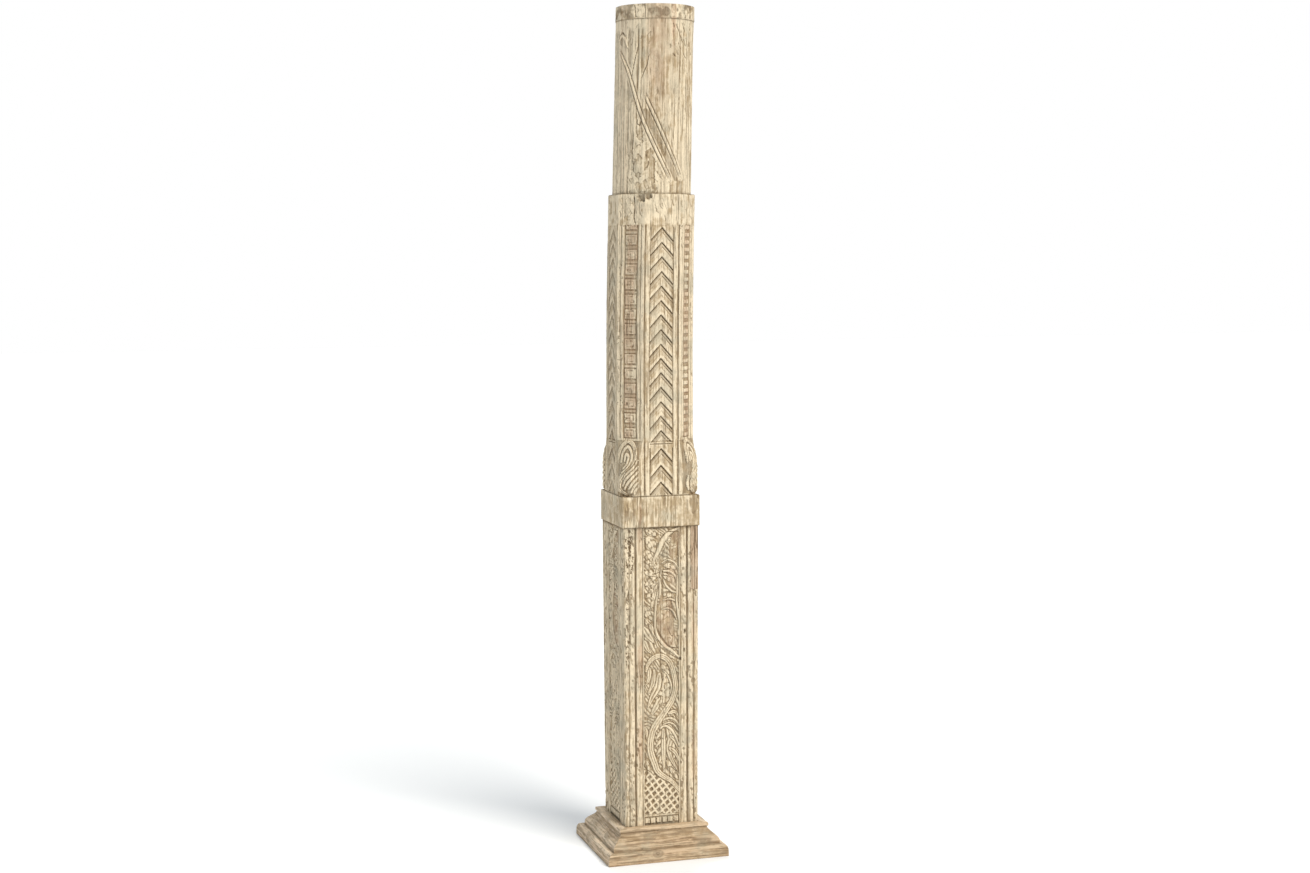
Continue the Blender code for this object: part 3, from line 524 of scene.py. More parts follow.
def frieze(relief, field, low, half, rise):
    """A row of small blocks along the foot of the panel, under a plain line."""
    u, z = field.u, field.z
    block = bump((u / half * 3 + 0.02 * np.sin(z * 900)) % 1.0, 0.5, 0.42) > 0.15
    row = ease(np.abs(z - low - 0.0115), 0.0072, 0.0062)
    line = bump(z, low + 0.0235, 0.0022)
    relief.rise = relief.rise * ease(z, low + 0.0255, low + 0.0262)
    relief.rise = np.maximum(relief.rise, rise * np.maximum(block * row, line * 0.9))


def wander(z, seed, reach=0.0006):
    """How far a hand-cut line strays from the straight."""
    return reach * (layers(z / 0.06, 0.0 * z, seed, 2) - 0.5) * 2


def square_side(field, sizes, carving, turn):
    """One side of the square shaft: panel, ridges, grooves and reeded corners."""
    u, z = field.u, field.z
    a = np.abs(u + wander(z, 11 + turn)) + wander(z, 13 + turn, 0.0004)
    ridge_foot = carving.panel_half + carving.bead
    ridge_end = ridge_foot + carving.ridge
    strip_foot = ridge_end + carving.groove
    strip_mid = (strip_foot + sizes.square_half) / 2
    ridge_mid = (ridge_foot + ridge_end) / 2
    h = -carving.groove_depth * bump(a, (ridge_end + strip_foot) / 2, carving.groove / 2) ** 0.6
    h -= carving.fine_depth * bump(a, ridge_foot, carving.fine / 2)
    h -= carving.fine_depth * bump(a, strip_mid, carving.fine / 2)
    on_ridge = (a < ridge_end) * (a > ridge_foot)
    h -= 0.0011 * np.clip((a - ridge_mid) / (carving.ridge / 2), -1, 1) ** 2 * on_ridge
    reed = (sizes.square_half - strip_foot) / 2
    reed_mid = np.where(a < strip_mid, strip_foot + reed / 2, strip_mid + reed / 2)
    h -= 0.0012 * np.clip((a - reed_mid) / (reed / 2), -1, 1) ** 2 * (a > strip_foot)
    h -= 0.0012 * bump(a, ridge_mid + 0.001, 0.0009) * ease(noise(z / 0.11, a * 0, 17 + turn), 0.35, 0.6)
    rise = scroll(field, sizes, carving, turn in (90, 180))
    worn = 0.82 + 0.18 * field.layers(0.02, 0.03, 21 + turn)
    tired = ease(field.layers(0.035, 0.06, 25 + turn), 0.60, 0.78)
    rise = rise * worn * (1 - 0.45 * tired)
    ground = -carving.panel_depth + 0.0009 * field.layers(0.0045, 0.006, 27 + turn)
    inside = ease(a, carving.panel_half + 0.0008, carving.panel_half - 0.0004)
    panel = np.minimum(ground + rise, -0.0002)
    low_part = ease(rise / carving.panel_depth, 0.22, 0.02)
    low_part = low_part * ease(a, carving.panel_half, carving.panel_half - 0.001)
    field.soil_and_shade(low_part * (0.30 + 0.50 * field.noise(0.012, 0.016, 29 + turn)))
    # Painted shadow: a dark band under the collar's lower edge.
    field.soil_and_shade(0.9 * bump(z, sizes.square_top - 0.001, 0.006))
    rough = ease(layers(u / 0.0044 + z / 0.03, z / 0.0090, 23 + turn, 2), 0.58, 0.70)
    flawed = ease(field.noise(0.016, 0.060, 24 + turn), 0.38, 0.62) * (a > ridge_foot)
    field.height -= 0.0011 * rough * flawed
    field.soil_and_shade(0.70 * rough * flawed)
    lines = bump(a, (ridge_end + strip_foot) / 2, carving.groove * 0.4) * 0.85
    lines = np.maximum(lines, 0.7 * bump(a, ridge_foot, carving.fine * 0.5))
    lines = np.maximum(lines, 0.7 * bump(a, strip_mid, carving.fine * 0.5))
    field.soil_and_shade(lines * (0.55 + 0.45 * field.noise(0.02, 0.05, 30 + turn)))
    above = ease(z, sizes.plinth_top - 0.006, sizes.plinth_top - 0.002)
    field.height += (h * (1 - inside) + panel * inside) * above


def main_half(z, sizes):
    """Half the width across the main sides above the collar."""
    return np.interp(z, (sizes.collar_top, sizes.stop_top, sizes.plain_top),
                     (sizes.stop_half, sizes.octagon_foot, sizes.octagon_half))


def lean(co, sizes):
    """The timber is crooked: it leans to the right above the collar, more and more to its top."""
    heights = (sizes.collar_top, sizes.stop_top + 0.24, sizes.stop_top + 0.36, sizes.carved_top - 0.068,
               sizes.plain_top, sizes.plain_top + 0.19, sizes.top)
    off = sizes.lean * np.interp(co[..., 2], heights, LEAN_SHARES)
    co[..., 0] += off * cos(LEAN_HEADING)
    co[..., 1] += off * sin(LEAN_HEADING)
    return co


def stop_cut(z, sizes):
    """How much of the corner is cut away through the stops, from the collar up."""
    share = np.clip((z - sizes.collar_top) / (sizes.stop_top - sizes.collar_top), 0.0, 1.0)
    foot = 0.012 * np.clip(1 - share / 0.12, 0, 1) ** 2
    rise = np.clip((share - 0.45) / 0.55, 0, 1)
    return sizes.stop_cut + foot + (sizes.corner_cut - sizes.stop_cut) * rise ** 1.4


def chevrons(field, low, high, pitch, carving, seed):
    """Chevrons cut in a sunk panel, each rising from the cut at its upper edge."""
    u, z = field.u, field.z
    half, depth = carving.chevron_half, carving.chevron_depth
    strayed = (z + np.abs(u + wander(z, seed, 0.0012)) * CHEVRON_SLOPE
               + 0.0015 * (layers(z / 0.05, u / 0.03, seed, 2) - 0.5))
    turn = (high - strayed) / pitch
    fall = turn % 1.0
    right = u > 0
    h = -depth * ease(fall, 0.10, 0.03) - depth * ease(fall, 0.965, 1.0)
    h -= depth * 0.30 * ease(fall, 0.30, 0.08)
    fine = bump(fall, np.where(right, 0.30, 0.36), 0.055)
    strength = np.where(right, 0.42, 0.16) * (0.5 + noise(turn, u / 0.02, seed + 3))
    h -= depth * strength * fine
    h -= depth * 0.22 * bump(fall, 0.62, 0.03) * ease(noise(turn * 0.9, u / 0.015, seed + 4), 0.5, 0.8)
    h -= 0.0006
    edge = ease(np.abs(u), half - 0.0006, half + 0.0006)
    groove = -depth * 0.55 * bump(np.abs(u), half, 0.0014)
    inside = (1 - edge) * ease(z, low, low + 0.0012) * ease(strayed, high + 0.0035, high + 0.0020)
    dull = ease(field.layers(0.02, 0.03, seed + 6), 0.5, 0.75)
    h *= 1 - 0.5 * dull * (u < 0)
    corner = ease(z, low - 0.001, low) * ease(z, high + 0.003, high)
    field.height += h * inside + groove * (1 - inside) * corner
    # Darker lines along the cuts and a darker upper half in each chevron, heavier on the right arms.
    line = np.maximum(ease(fall, 0.14, 0.05), ease(fall, 0.955, 0.99))
    darkening = np.maximum(line * np.where(right, 1.0, 0.85), 0.70 * ease(fall, 0.55, 0.06))
    darkening = np.maximum(darkening, fine * np.where(right, 0.85, 0.45))
    darkening = darkening * (0.60 + 0.40 * field.noise(0.01, 0.02, seed + 8))
    field.soil_and_shade(darkening * inside)
    field.whiten(0.7 * bump(fall, 0.84, 0.12) * inside)
    field.soil_and_shade(0.75 * bump(np.abs(u), half, 0.0016) * corner * (1 - inside * 0.5))


def octagon_side(field, sizes, carving, turn):
    """One of the four main sides, from the collar to the shoulder."""
    u, z = field.u, field.z
    rib_edge = carving.chevron_half + carving.rib
    upper = ease(z, sizes.collar_top + 0.002, sizes.collar_top + 0.004)
    upper *= ease(z, sizes.carved_top + 0.002, sizes.carved_top - 0.002)
    a = np.abs(u) + wander(z, 31 + turn, 0.0005)
    field.height -= 0.0032 * bump(a, rib_edge + 0.002, 0.0022) * upper
    rib_mid = carving.chevron_half + carving.rib / 2
    field.height -= 0.0009 * np.clip((a - rib_mid) / (carving.rib / 2), -1, 1) ** 2 * (a < rib_edge) * upper
    chevrons(field, sizes.stop_top - 0.004, sizes.carved_top - 0.0065, CHEVRON_PITCH, carving, 33 + turn)
    chevrons(field, sizes.collar_top + 0.002, sizes.stop_top - 0.020, LOW_CHEVRON_PITCH, carving, 35 + turn)
    # Painted shade: the left side is made darker all over, its dark marks deepened and a shaded film added.
    if turn == 270:
        shade = 0.22 * upper * (a < rib_edge) * field.noise(0.02, 0.03, 38)
        field.dirt_and_shade = np.clip(field.dirt_and_shade * 1.15 + shade, 0, 1)
    line = bump(z, sizes.stop_top - 0.008, 0.0016) * (a < carving.chevron_half)
    field.height -= 0.0018 * line
    field.soil_and_shade(0.8 * line)
    field.soil_and_shade(0.8 * bump(a, rib_edge + 0.002, 0.0020) * upper
               * (0.5 + 0.5 * field.noise(0.01, 0.04, 37 + turn)))


def corner_strip(field, sizes, carving, turn):
    """Squares and bars by turns, between grooves, up a cut corner."""
    u, z = field.u, field.z
    foot = sizes.stop_top + 0.006
    zone = ease(z, foot - 0.001, foot + 0.001) * ease(z, sizes.carved_top + 0.001, sizes.carved_top - 0.001)
    small = turn % 180 == 45
    half, depth = carving.strip_half - 0.004 * small, carving.strip_depth
    pitch = (sizes.carved_top - sizes.stop_top) / (SMALL_SQUARES if small else STRIP_SQUARES)
    v = u + wander(z, 51 + turn, 0.0012)
    a = np.abs(v)
    row = (z - foot) / pitch + 0.05 * (noise(z / 0.03, u * 0, 53 + turn) - 0.5)
    part, index = row % 1.0, np.floor(row)
    x, y = v / (half - 0.002), (part - 0.38) / (0.26 if small else 0.33)
    square = np.maximum(np.abs(x), np.abs(y)) + 0.10 * (field.layers(0.006, 0.006, 55 + turn) - 0.5)
    kind = noise(index * 3.7, index * 0, 57 + turn)
    block = ease(square, 1.0, 0.90)
    pit = bump(square, 0.58, 0.16) * (0.0 if small else 0.55)
    cross = np.abs(np.where(kind > 0.5, x - 0.2, y + 0.1))
    boss = ease(cross, 0.26, 0.10) * 0.6 * (square < 0.85) * ((x < 0) | (kind > 0.5)) * (not small)
    rise = block * (1 - pit - boss)
    bar = ease(np.abs(np.abs(part - 0.86) - 0.035), 0.030, 0.012) * (not small)
    bar *= ease(a, half - 0.0008, half - 0.0022)
    rise = np.maximum(rise, bar * 0.85)
    worn = 0.55 + 0.45 * field.layers(0.012, 0.012, 59 + turn)
    h = -depth * 0.8 + depth * 0.7 * rise * worn
    inside = ease(a, half + 0.0008, half - 0.0004)
    h = h * inside - depth * 0.5 * bump(a, half + 0.0012, 0.0016)
    h -= 0.0018 * bump(a, half + 0.0105, 0.0018)
    field.height += h * zone
    darkening = ease(rise, 0.5, 0.1) * inside * (0.56 if small else 0.24)
    darkening = np.maximum(darkening, 0.7 * bump(a, half + 0.0012, 0.0016))
    darkening = np.maximum(darkening, 0.6 * bump(a, half + 0.0105, 0.0018))
    field.soil_and_shade(darkening * zone * (0.45 + 0.55 * field.noise(0.008, 0.010, 63 + turn)))
    field.redden(inside * zone * 0.78 * ease(field.noise(0.02, 0.06, 64 + turn), 0.20, 0.55))
    field.whiten(0.5 * zone * ease(a, half + 0.004, half + 0.008))
    field.whiten(0.9 * zone * rise * inside)
    speck = ease(field.layers(0.0045, 0.0055, 65 + turn, 2), 0.62, 0.78)
    speck *= ease(field.noise(0.014, 0.08, 66 + turn), 0.40, 0.65)
    field.height -= 0.0012 * speck * zone
    field.soil_and_shade(0.60 * speck * zone)


# The leaf of a corner stop. Across is a share of the cut corner's half width, up a share
# of the stop's height.
STOP_CURL = [(-0.66, 0.60), (-0.60, 0.86), (-0.12, 1.00), (0.42, 0.90), (0.60, 0.68), (0.30, 0.50),
             (-0.24, 0.36), (-0.50, 0.22), (-0.40, 0.10), (0.05, 0.02)]
STOP_VEINS = [
    [(-0.40, 0.62), (-0.36, 0.80), (-0.08, 0.90), (0.24, 0.82), (0.36, 0.68), (0.12, 0.54), (-0.30, 0.42)],
    [(-0.16, 0.64), (-0.12, 0.76), (0.10, 0.72), (0.06, 0.60), (-0.20, 0.50)],
    [(0.80, 0.66), (0.52, 0.52), (0.06, 0.40), (-0.20, 0.30)],
    [(0.86, 0.54), (0.44, 0.42), (0.00, 0.30), (-0.22, 0.18)],
    [(0.88, 0.44), (0.50, 0.34), (0.12, 0.22), (-0.06, 0.12)],
    [(0.88, 0.34), (0.56, 0.25), (0.26, 0.13)],
    [(0.86, 0.24), (0.62, 0.17), (0.42, 0.06)],
    [(0.84, 0.14), (0.70, 0.09), (0.60, 0.03)],
    [(-0.62, 0.34), (-0.70, 0.20), (-0.62, 0.08)],
]


def stop_leaf(field, sizes):
    """The curled leaf on the corner between the collar and the eight sides."""
    half = sizes.corner_cut / sqrt(2)
    low, tall = sizes.collar_top + 0.003, sizes.stop_top - sizes.collar_top - 0.004

    def place(points):
        return [(x * half, low + y * tall) for x, y in points]

    relief = Relief(field)
    relief.stem(place(STOP_CURL), (0.006, 0.009, 0.010, 0.010, 0.012, 0.015, 0.016, 0.013, 0.006), 0.0034, 2)
    for path in STOP_VEINS:
        relief.stem(place(path), (0.0055, 0.0078, 0.0078, 0.0045), 0.0030, 0)
    zone = ease(field.z, low - 0.001, low + 0.002) * ease(field.z, sizes.stop_top + 0.004, sizes.stop_top)
    leaf = ease(relief.rise, 0.0, 0.0008) * zone
    around = ease(np.abs(field.u + 0.002), half * 1.02, half * 0.92) * zone
    field.height = field.height * (1 - leaf) + relief.rise * zone - 0.0010 * around
    cuts = ease(relief.rise, 0.0016, 0.0008) * around
    field.dirt_and_shade = np.maximum(field.dirt_and_shade * (1 - leaf), cuts * (0.25 + 0.45 * field.noise(0.012, 0.02, 67)))


def lap_leaves(field, sizes):
    """The corner leaves lap over onto a main side from its left and its right."""
    cut = stop_cut(field.z, sizes)
    reach = main_half(field.z, sizes) - cut + cut / sqrt(2)
    for hand in (-1, 1):
        lapped = Field(field.u - hand * reach, field.z, field.seed)
        lapped.height, lapped.dirt_and_shade = field.height, field.dirt_and_shade
        stop_leaf(lapped, sizes)
        field.height, field.dirt_and_shade = lapped.height, lapped.dirt_and_shade


def grain(field, s):
    """Raised grain, checks and pores along the timber; s runs round it."""
    z, seed = field.z, GRAIN_SEED
    drift = 0.006 * (layers(s / 0.05, z / 0.5, seed + 1, 2) - 0.5)
    fine = layers((s + drift) / 0.0030, z / 0.060, seed + 2, 2)
    broad = layers((s + drift) / 0.0090, z / 0.30, seed + 4, 2)
    rough = layers(s / 0.0042, z / 0.0060, seed + 8, 2)
    field.height += 0.0009 * (fine - 0.5) + 0.0009 * (broad - 0.5) + 0.0006 * (rough - 0.5)
    check = np.exp(-((broad - 0.5) / 0.012) ** 2) * ease(layers(s / 0.02, z / 0.09, seed + 6), 0.46, 0.60)
    field.height -= 0.0013 * check
    field.soil_and_shade(0.70 * check)
    worn = ease(layers(s / 0.03, z / 0.07, seed + 9), 0.35, 0.65)
    field.soil_and_shade((0.25 + 0.35 * worn) * ease(fine, 0.46, 0.24))
    field.soil_and_shade(0.45 * worn * ease(rough, 0.36, 0.20))


def pits(field, u, z, wide, tall, seed, depth=0.0016, strength=1.0):
    """Worm-eaten, pitted wood round a place."""
    zone = ease(np.hypot((field.u - u) / wide, (field.z - z) / tall), 1.1, 0.6)
    hole = ease(layers(field.u / 0.0027 + field.z / 0.010, field.z / 0.0052, seed, 2), 0.50, 0.58) * zone
    field.height -= depth * hole
    field.dirt_and_shade = np.maximum(field.dirt_and_shade * (1 - 0.7 * zone * strength), hole * strength)
    field.whiten(1.2 * zone * (1 - hole) * strength)


def shaft_marks(field, turn):
    """The wear, holes and stains that the photograph shows on the shaft's front and left."""
    if turn == 0:
        for u, z in ((0.064, 0.590), (0.062, 0.541), (0.051, 0.518)):
            field.chip(u, z, 0.0028, 0.0060, 0.0040, 0.95)
        pits(field, -0.088, 0.800, 0.019, 0.085, 71)
        pits(field, -0.088, 0.200, 0.012, 0.110, 72, 0.0007, 0.5)
        pits(field, -0.092, 0.600, 0.010, 0.140, 76, 0.0010)
        pits(field, -0.020, 0.730, 0.024, 0.070, 73, 0.0009, 0.6)
        field.chip(-0.089, 0.693, 0.0030, 0.0100, 0.0030, 0.7)
        for z in (0.86, 0.52, 0.30):
            field.stain(-0.058, z, 0.010, 0.090, 0.75)
        field.stain(0.020, 0.615, 0.024, 0.060, 0.55)
        field.stain(0.030, 0.740, 0.018, 0.030, 0.45)
        field.stain(0.088, 0.610, 0.010, 0.080, 0.5)
        field.stain(0.090, 0.260, 0.012, 0.090, 0.4)
    if turn == 270:
        pits(field, 0.085, 0.760, 0.016, 0.080, 74)
        pits(field, 0.080, 0.130, 0.020, 0.050, 75)


def collar_marks(field, sizes, turn):
    """Edges of the collar are rounded and bruised."""
    z = field.z
    for edge in (sizes.square_top, sizes.collar_top):
        near = np.abs(z - edge)
        rough = layers(field.u / 0.012, z * 0 + turn, 81, 2)
        at_edge = (z > edge - 0.001) * (z < edge + 0.004)
        field.height -= 0.0016 * ease(near, 0.0035, 0.0) * (0.4 + rough) * at_edge
    band = ease(z, sizes.square_top, sizes.square_top + 0.002)
    band = band * ease(z, sizes.collar_top, sizes.collar_top - 0.002)
    fibre = field.layers(0.0034, 0.030, 82 + turn, 2)
    torn = ease(field.layers(0.030, 0.05, 83 + turn), 0.42, 0.58) * band
    torn = torn * (0.30 + 0.70 * ease(field.u, -0.030, -0.055) * (turn == 0))
    field.height -= 0.0012 * torn * ease(fibre, 0.52, 0.36)
    field.soil_and_shade(0.62 * torn * ease(fibre, 0.50, 0.34))
    field.soil_and_shade(0.7 * bump(z, sizes.collar_top + 0.001, 0.0025))
    if turn == 0:
        field.stain(-0.058, 0.900, 0.006, 0.045, 0.9)
        field.cut([(0.012, 0.930), (0.014, 0.905), (0.016, 0.885)], 0.0009, 0.0010)
        field.cut([(0.070, 0.935), (0.071, 0.880)], 0.0010, 0.0012)
        field.chip(0.088, 0.925, 0.012, 0.030, 0.0012, 0.45)
        field.chip(0.102, 0.945, 0.007, 0.012, 0.0030, 0.5)


def shoulder_marks(field, sizes, turn):
    """The broken shoulder and the splits under the head."""
    top = sizes.plain_top
    edge = ease(top - field.z, 0.0030, 0.0) * (field.z <= top)
    field.height -= 0.0018 * edge * (0.5 + layers(field.u / 0.01, field.z * 0 + turn, 91, 2))
    plain = ease(field.z, sizes.carved_top + 0.002, sizes.carved_top + 0.008)
    field.whiten(0.9 * plain * ease(field.layers(0.02, 0.03, 93 + turn), 0.35, 0.6))
    field.strokes(0.0, top - 0.050, 0.036, 0.028, 7 if turn % 90 == 0 else 9, radians(-28), 94 + turn, 0.0012)
    if turn == 315:
        field.chip(0.030, top - 0.004, 0.017, 0.016, 0.0090, 0.7, 0.9)
        field.cut([(0.006, top - 0.004), (0.009, top - 0.030), (0.007, top - 0.060), (0.012, top - 0.078)],
                  0.0018, 0.0070, 1.0)
        field.cut([(-0.018, top - 0.030), (-0.010, top - 0.052), (-0.004, top - 0.070)], 0.0010, 0.0012)
        peel(field, -0.010, top - 0.036, 0.022, 0.030, 92, 0.0016)
    if turn == 0:
        field.chip(-0.040, top - 0.004, 0.012, 0.013, 0.0080, 0.55, 0.9)
        field.cut([(-0.004, top - 0.006), (0.010, top - 0.040), (0.020, top - 0.076)], 0.0009, 0.0009, 0.5)
        field.cut([(0.041, top - 0.002), (0.042, top - 0.070)], 0.0010, 0.0016, 0.7)
        field.cut([(-0.024, top - 0.004), (-0.026, top - 0.022)], 0.0010, 0.0010, 0.5)


def head_radius(z, sizes):
    """The head narrows a little to its rim."""
    share = np.clip((z - sizes.plain_top) / (sizes.rim_foot - sizes.plain_top), 0, 1)
    return sizes.head_foot + (sizes.head_top - sizes.head_foot) * share


# The ribbon across the head. Across is a turn in radians from the middle of the front,
# up a share of the head's height.
RIBBONS = [
    [(-1.37, 0.835), (-0.983, 0.690), (-0.614, 0.458), (-0.235, 0.267), (0.200, 0.075)],
    [(-0.512, 0.563), (-0.190, 0.412), (0.140, 0.256), (0.510, 0.095)],
]
RIBBON_HOOK = [(-1.40, 0.850), (-1.36, 0.895), (-1.24, 0.912), (-1.12, 0.885), (-1.02, 0.835)]
BETWEEN_RIBBONS = [(-0.50, 0.47), (-0.06, 0.27), (0.35, 0.09)]
# Splits and cracks of the head in the same measures, each with its width in metres.
HEAD_SPLITS = [
    ([(-0.84, 1.082), (-0.82, 1.04), (-0.805, 1.00)], 0.0012),
    ([(-0.56, 1.082), (-0.54, 1.04), (-0.545, 1.00)], 0.0012),
    ([(-0.705, 0.875), (-0.72, 0.847), (-0.832, 0.742), (-0.915, 0.638)], 0.0014),
    ([(-0.423, 0.800), (-0.47, 0.740), (-0.627, 0.655)], 0.0012),
    ([(-0.71, 0.430), (-0.70, 0.400), (-0.64, 0.390), (-0.60, 0.420)], 0.0014),
    ([(-0.80, 0.36), (-0.84, 0.24), (-0.78, 0.12)], 0.0012),
    ([(0.46, 0.98), (0.60, 0.92)], 0.0012),
    ([(0.30, 0.96), (0.52, 0.86)], 0.0012),
    ([(0.62, 0.90), (0.80, 0.80)], 0.0011),
    ([(0.66, 0.62), (0.68, 0.46)], 0.0010),
]


def head_side(field, sizes):
    """The round head: reeds, ribbon, peeled patch, chips and splits; u runs round from the front."""
    u, z = field.u, field.z
    low, tall = sizes.plain_top, sizes.rim_foot - sizes.plain_top
    around = 2 * pi * sizes.head_foot

    def place(points):
        return [(x * sizes.head_foot, low + y * tall) for x, y in points]

    strayed = u + 0.004 * (field.layers(0.05, 0.16, 101, 2) - 0.5)
    wave = noise(strayed / 0.0052, z / 0.55, 102)
    reeds = ease(wave, 0.15, 0.75)
    zone = ease(z, sizes.rim_foot - 0.020, sizes.rim_foot - 0.034)
    calm = 1 - 0.75 * bump(u, -0.020, 0.050) * ease(z, low + 0.10, low + 0.20)
    field.height -= 0.0017 * (1 - reeds) * zone * calm
    field.soil_and_shade(0.5 * ease(wave, 0.32, 0.10) * zone * calm)
    brown = bump(u, -0.022, 0.034) * ease(z, low + 0.15, low + 0.34)
    field.redden(0.70 * brown)
    field.soil_and_shade(0.46 * brown * ease(field.noise(0.004, 0.20, 115), 0.20, 0.50))
    field.redden(0.45 * bump(u, -0.125, 0.030) * ease(field.noise(0.006, 0.3, 105), 0.3, 0.6))
    field.stain(0.020, sizes.top - 0.03, 0.009, 0.105, 1.0)
    field.soil_and_shade(0.45 * bump(u, 0.004, 0.030) * bump(z, sizes.rim_foot - 0.045, 0.045)
               * ease(field.noise(0.004, 0.08, 106), 0.35, 0.6))
    peel(field, -0.046, low + 0.070, 0.062, 0.110, 104, 0.0020)
    field.strokes(0.050, low + 0.375, 0.044, 0.050, 16, radians(-24), 107)
    field.strokes(-0.070, low + 0.385, 0.040, 0.035, 9, radians(22), 108, 0.0012)
    field.strokes(-0.050, low + 0.150, 0.050, 0.110, 16, radians(10), 109, 0.0014)
    relief = Relief(field)
    for path in RIBBONS:
        middle = place(path)
        spot, away, share, _ = field.trace(smooth(middle), 0.016)
        flat = ease(away, 0.0125, 0.0085)
        field.height[spot] = field.height[spot] * (1 - 0.8 * flat)
        field.dirt_and_shade[spot] *= 1 - 0.8 * flat
        line = bump(away, 0.0046, 0.0015) * ease(share, 0.0, 0.08) * ease(share, 1.0, 0.94)
        field.height[spot] -= 0.0020 * line
        field.soil_and_shade(line, spot)
        relief.stem(middle, (0.0015, 0.0060, 0.0070, 0.0070, 0.0060, 0.0015), 0.0021, 0)
        field.whiten(0.9 * ease(away, 0.0050, 0.0030), spot)
    spot, away, _, _ = field.trace(smooth(place(BETWEEN_RIBBONS)), 0.016)
    band = ease(away, 0.0095, 0.0060)
    field.height[spot] -= 0.0008 * band
    field.soil_and_shade(0.62 * band * (0.6 + 0.4 * noise(field.u[spot] / 0.004, field.z[spot] / 0.02, 111)), spot)
    hook = place(RIBBON_HOOK)
    relief.stem(hook, (0.002, 0.009, 0.010, 0.007, 0.002), 0.0026, 0)
    field.cut([(x, y + 0.0066) for x, y in hook[:4]], 0.0026, 0.0024, 0.95)
    field.height += relief.rise
    for path, width in HEAD_SPLITS:
        field.cut(place(path), width, 0.0030, 1.0)
    field.soil_and_shade(0.85 * bump(z, sizes.rim_foot - 0.0008, 0.0022))
    field.soil_and_shade(0.7 * bump(z, low + 0.001, 0.0035))
    field.whiten(1.3 * bump(u, -0.125, 0.055) * (z < sizes.rim_foot))
    field.soil_and_shade(0.30 * bump(u, 0.004, 0.050) * ease(field.noise(0.0045, 0.12, 114), 0.30, 0.60)
               * ease(z, low + 0.08, low + 0.20))
    on_rim = z > sizes.rim_foot
    blotches = field.layers(0.020, 0.020, 112)
    field.soil_and_shade(0.80 * on_rim * ease(blotches, 0.52, 0.60))
    field.whiten(0.80 * on_rim * ease(blotches, 0.46, 0.38))
    field.whiten(0.55 * ease(field.layers(0.030, 0.060, 113), 0.50, 0.62))
    rim = ease(z, sizes.rim_foot + 0.001, sizes.rim_foot + 0.004)
    field.height -= 0.0012 * rim * ease(field.layers(0.010, 0.012, 110), 0.50, 0.72)
    field.height *= ease(np.abs(u), around / 2, around / 2 - 0.004)


def peel(field, u, z, wide, tall, seed, depth):
    """Wood that has come away in scales, with sharp broken edges."""
    ragged = 0.5 * (field.layers(0.02, 0.03, seed) - 0.5)
    away = np.hypot((field.u - u) / wide, (field.z - z) / tall) + ragged
    zone = ease(away, 1.0, 0.82)
    bent = 0.9 * (field.layers(0.011, 0.014, seed + 2, 2) - 0.5)
    near, second, value = cells(field.u / 0.0125 + bent, field.z / 0.0180 - bent, seed + 1)
    edge = ease(second - near, 0.16, 0.03) * ease(field.noise(0.011, 0.013, seed + 5), 0.30, 0.60)
    field.height = field.height * (1 - 0.85 * zone)
    field.height -= depth * zone * (0.30 + 0.70 * value)
    field.height -= 0.0010 * edge * zone
    field.dirt_and_shade = np.maximum(field.dirt_and_shade * (1 - 0.6 * zone), (0.20 + 0.50 * value) * edge * zone)
    field.soil_and_shade(0.20 * zone * ease(value, 0.6, 0.9))
    field.whiten(0.5 * zone * ease(value, 0.45, 0.1))


class Zone:
    """One length of the shaft as rings of points, with the section of each ring."""

    def __init__(self, heights, halves, cuts, round_edge, columns):
        self.z, self.half, self.cut = (np.asarray(x, float) for x in (heights, halves, cuts))
        self.edge = round_edge
        self.main, self.corner = columns

    def rings(self, fill):
        """Points of all rings, with what fill says of heights and stains on each side."""
        parts = {"co": [], "height": [], "dirt_and_shade": [], "rust": [], "pale": [], "normal": []}
        s = 0.0
        for k in range(8):
            turn = 45 * k
            is_main = k % 2 == 0
            count = self.main if is_main else self.corner
            width = self.half - self.cut if is_main else self.cut / sqrt(2)
            apothem = self.half if is_main else self.half * sqrt(2) - self.cut / sqrt(2)
            radius = np.minimum(self.edge, width * 0.8)
            beta = pi / 8
            straight = width - radius * tan(beta)
            end = straight + radius * sin(beta)
            f = np.linspace(-1, 1, count, endpoint=False)
            u = f[None] * end[:, None]
            over = np.clip((np.abs(u) - straight[:, None]) / radius[:, None], 0, 1)
            out = -radius[:, None] * (1 - np.sqrt(1 - over ** 2))
            z = np.repeat(self.z[:, None], count, 1)
            field = Field(u, z, 7 * k + 3)
            fill(field, turn, s + u)
            normal = np.array([sin(radians(turn)), -cos(radians(turn))])
            across = np.array([cos(radians(turn)), sin(radians(turn))])
            tilt = (np.sqrt(1 - over ** 2)[..., None] * normal
                    + (over * np.sign(u))[..., None] * across)
            flat = normal * (apothem[:, None] + out)[..., None] + across * u[..., None]
            parts["co"].append(np.concatenate([flat, z[..., None]], -1))
            parts["normal"].append(np.concatenate([tilt, 0 * z[..., None]], -1))
            for name in ("height", "dirt_and_shade", "rust", "pale"):
                parts[name].append(getattr(field, name))
            s += 0.09
        return {name: np.concatenate(value, 1) for name, value in parts.items()}


def blur(values, reach):
    """Values averaged over their neighbours, round the rings and along the timber."""
    weights = np.exp(-0.5 * (np.arange(-2 * reach, 2 * reach + 1) / reach) ** 2)
    weights /= weights.sum()
    around = sum(w * np.roll(values, k, 1) for k, w in zip(range(-2 * reach, 2 * reach + 1), weights))
    padded = np.pad(around, ((2 * reach, 2 * reach), (0, 0)), "edge")
    rows = values.shape[0]
    return sum(w * padded[k:k + rows] for k, w in enumerate(weights))


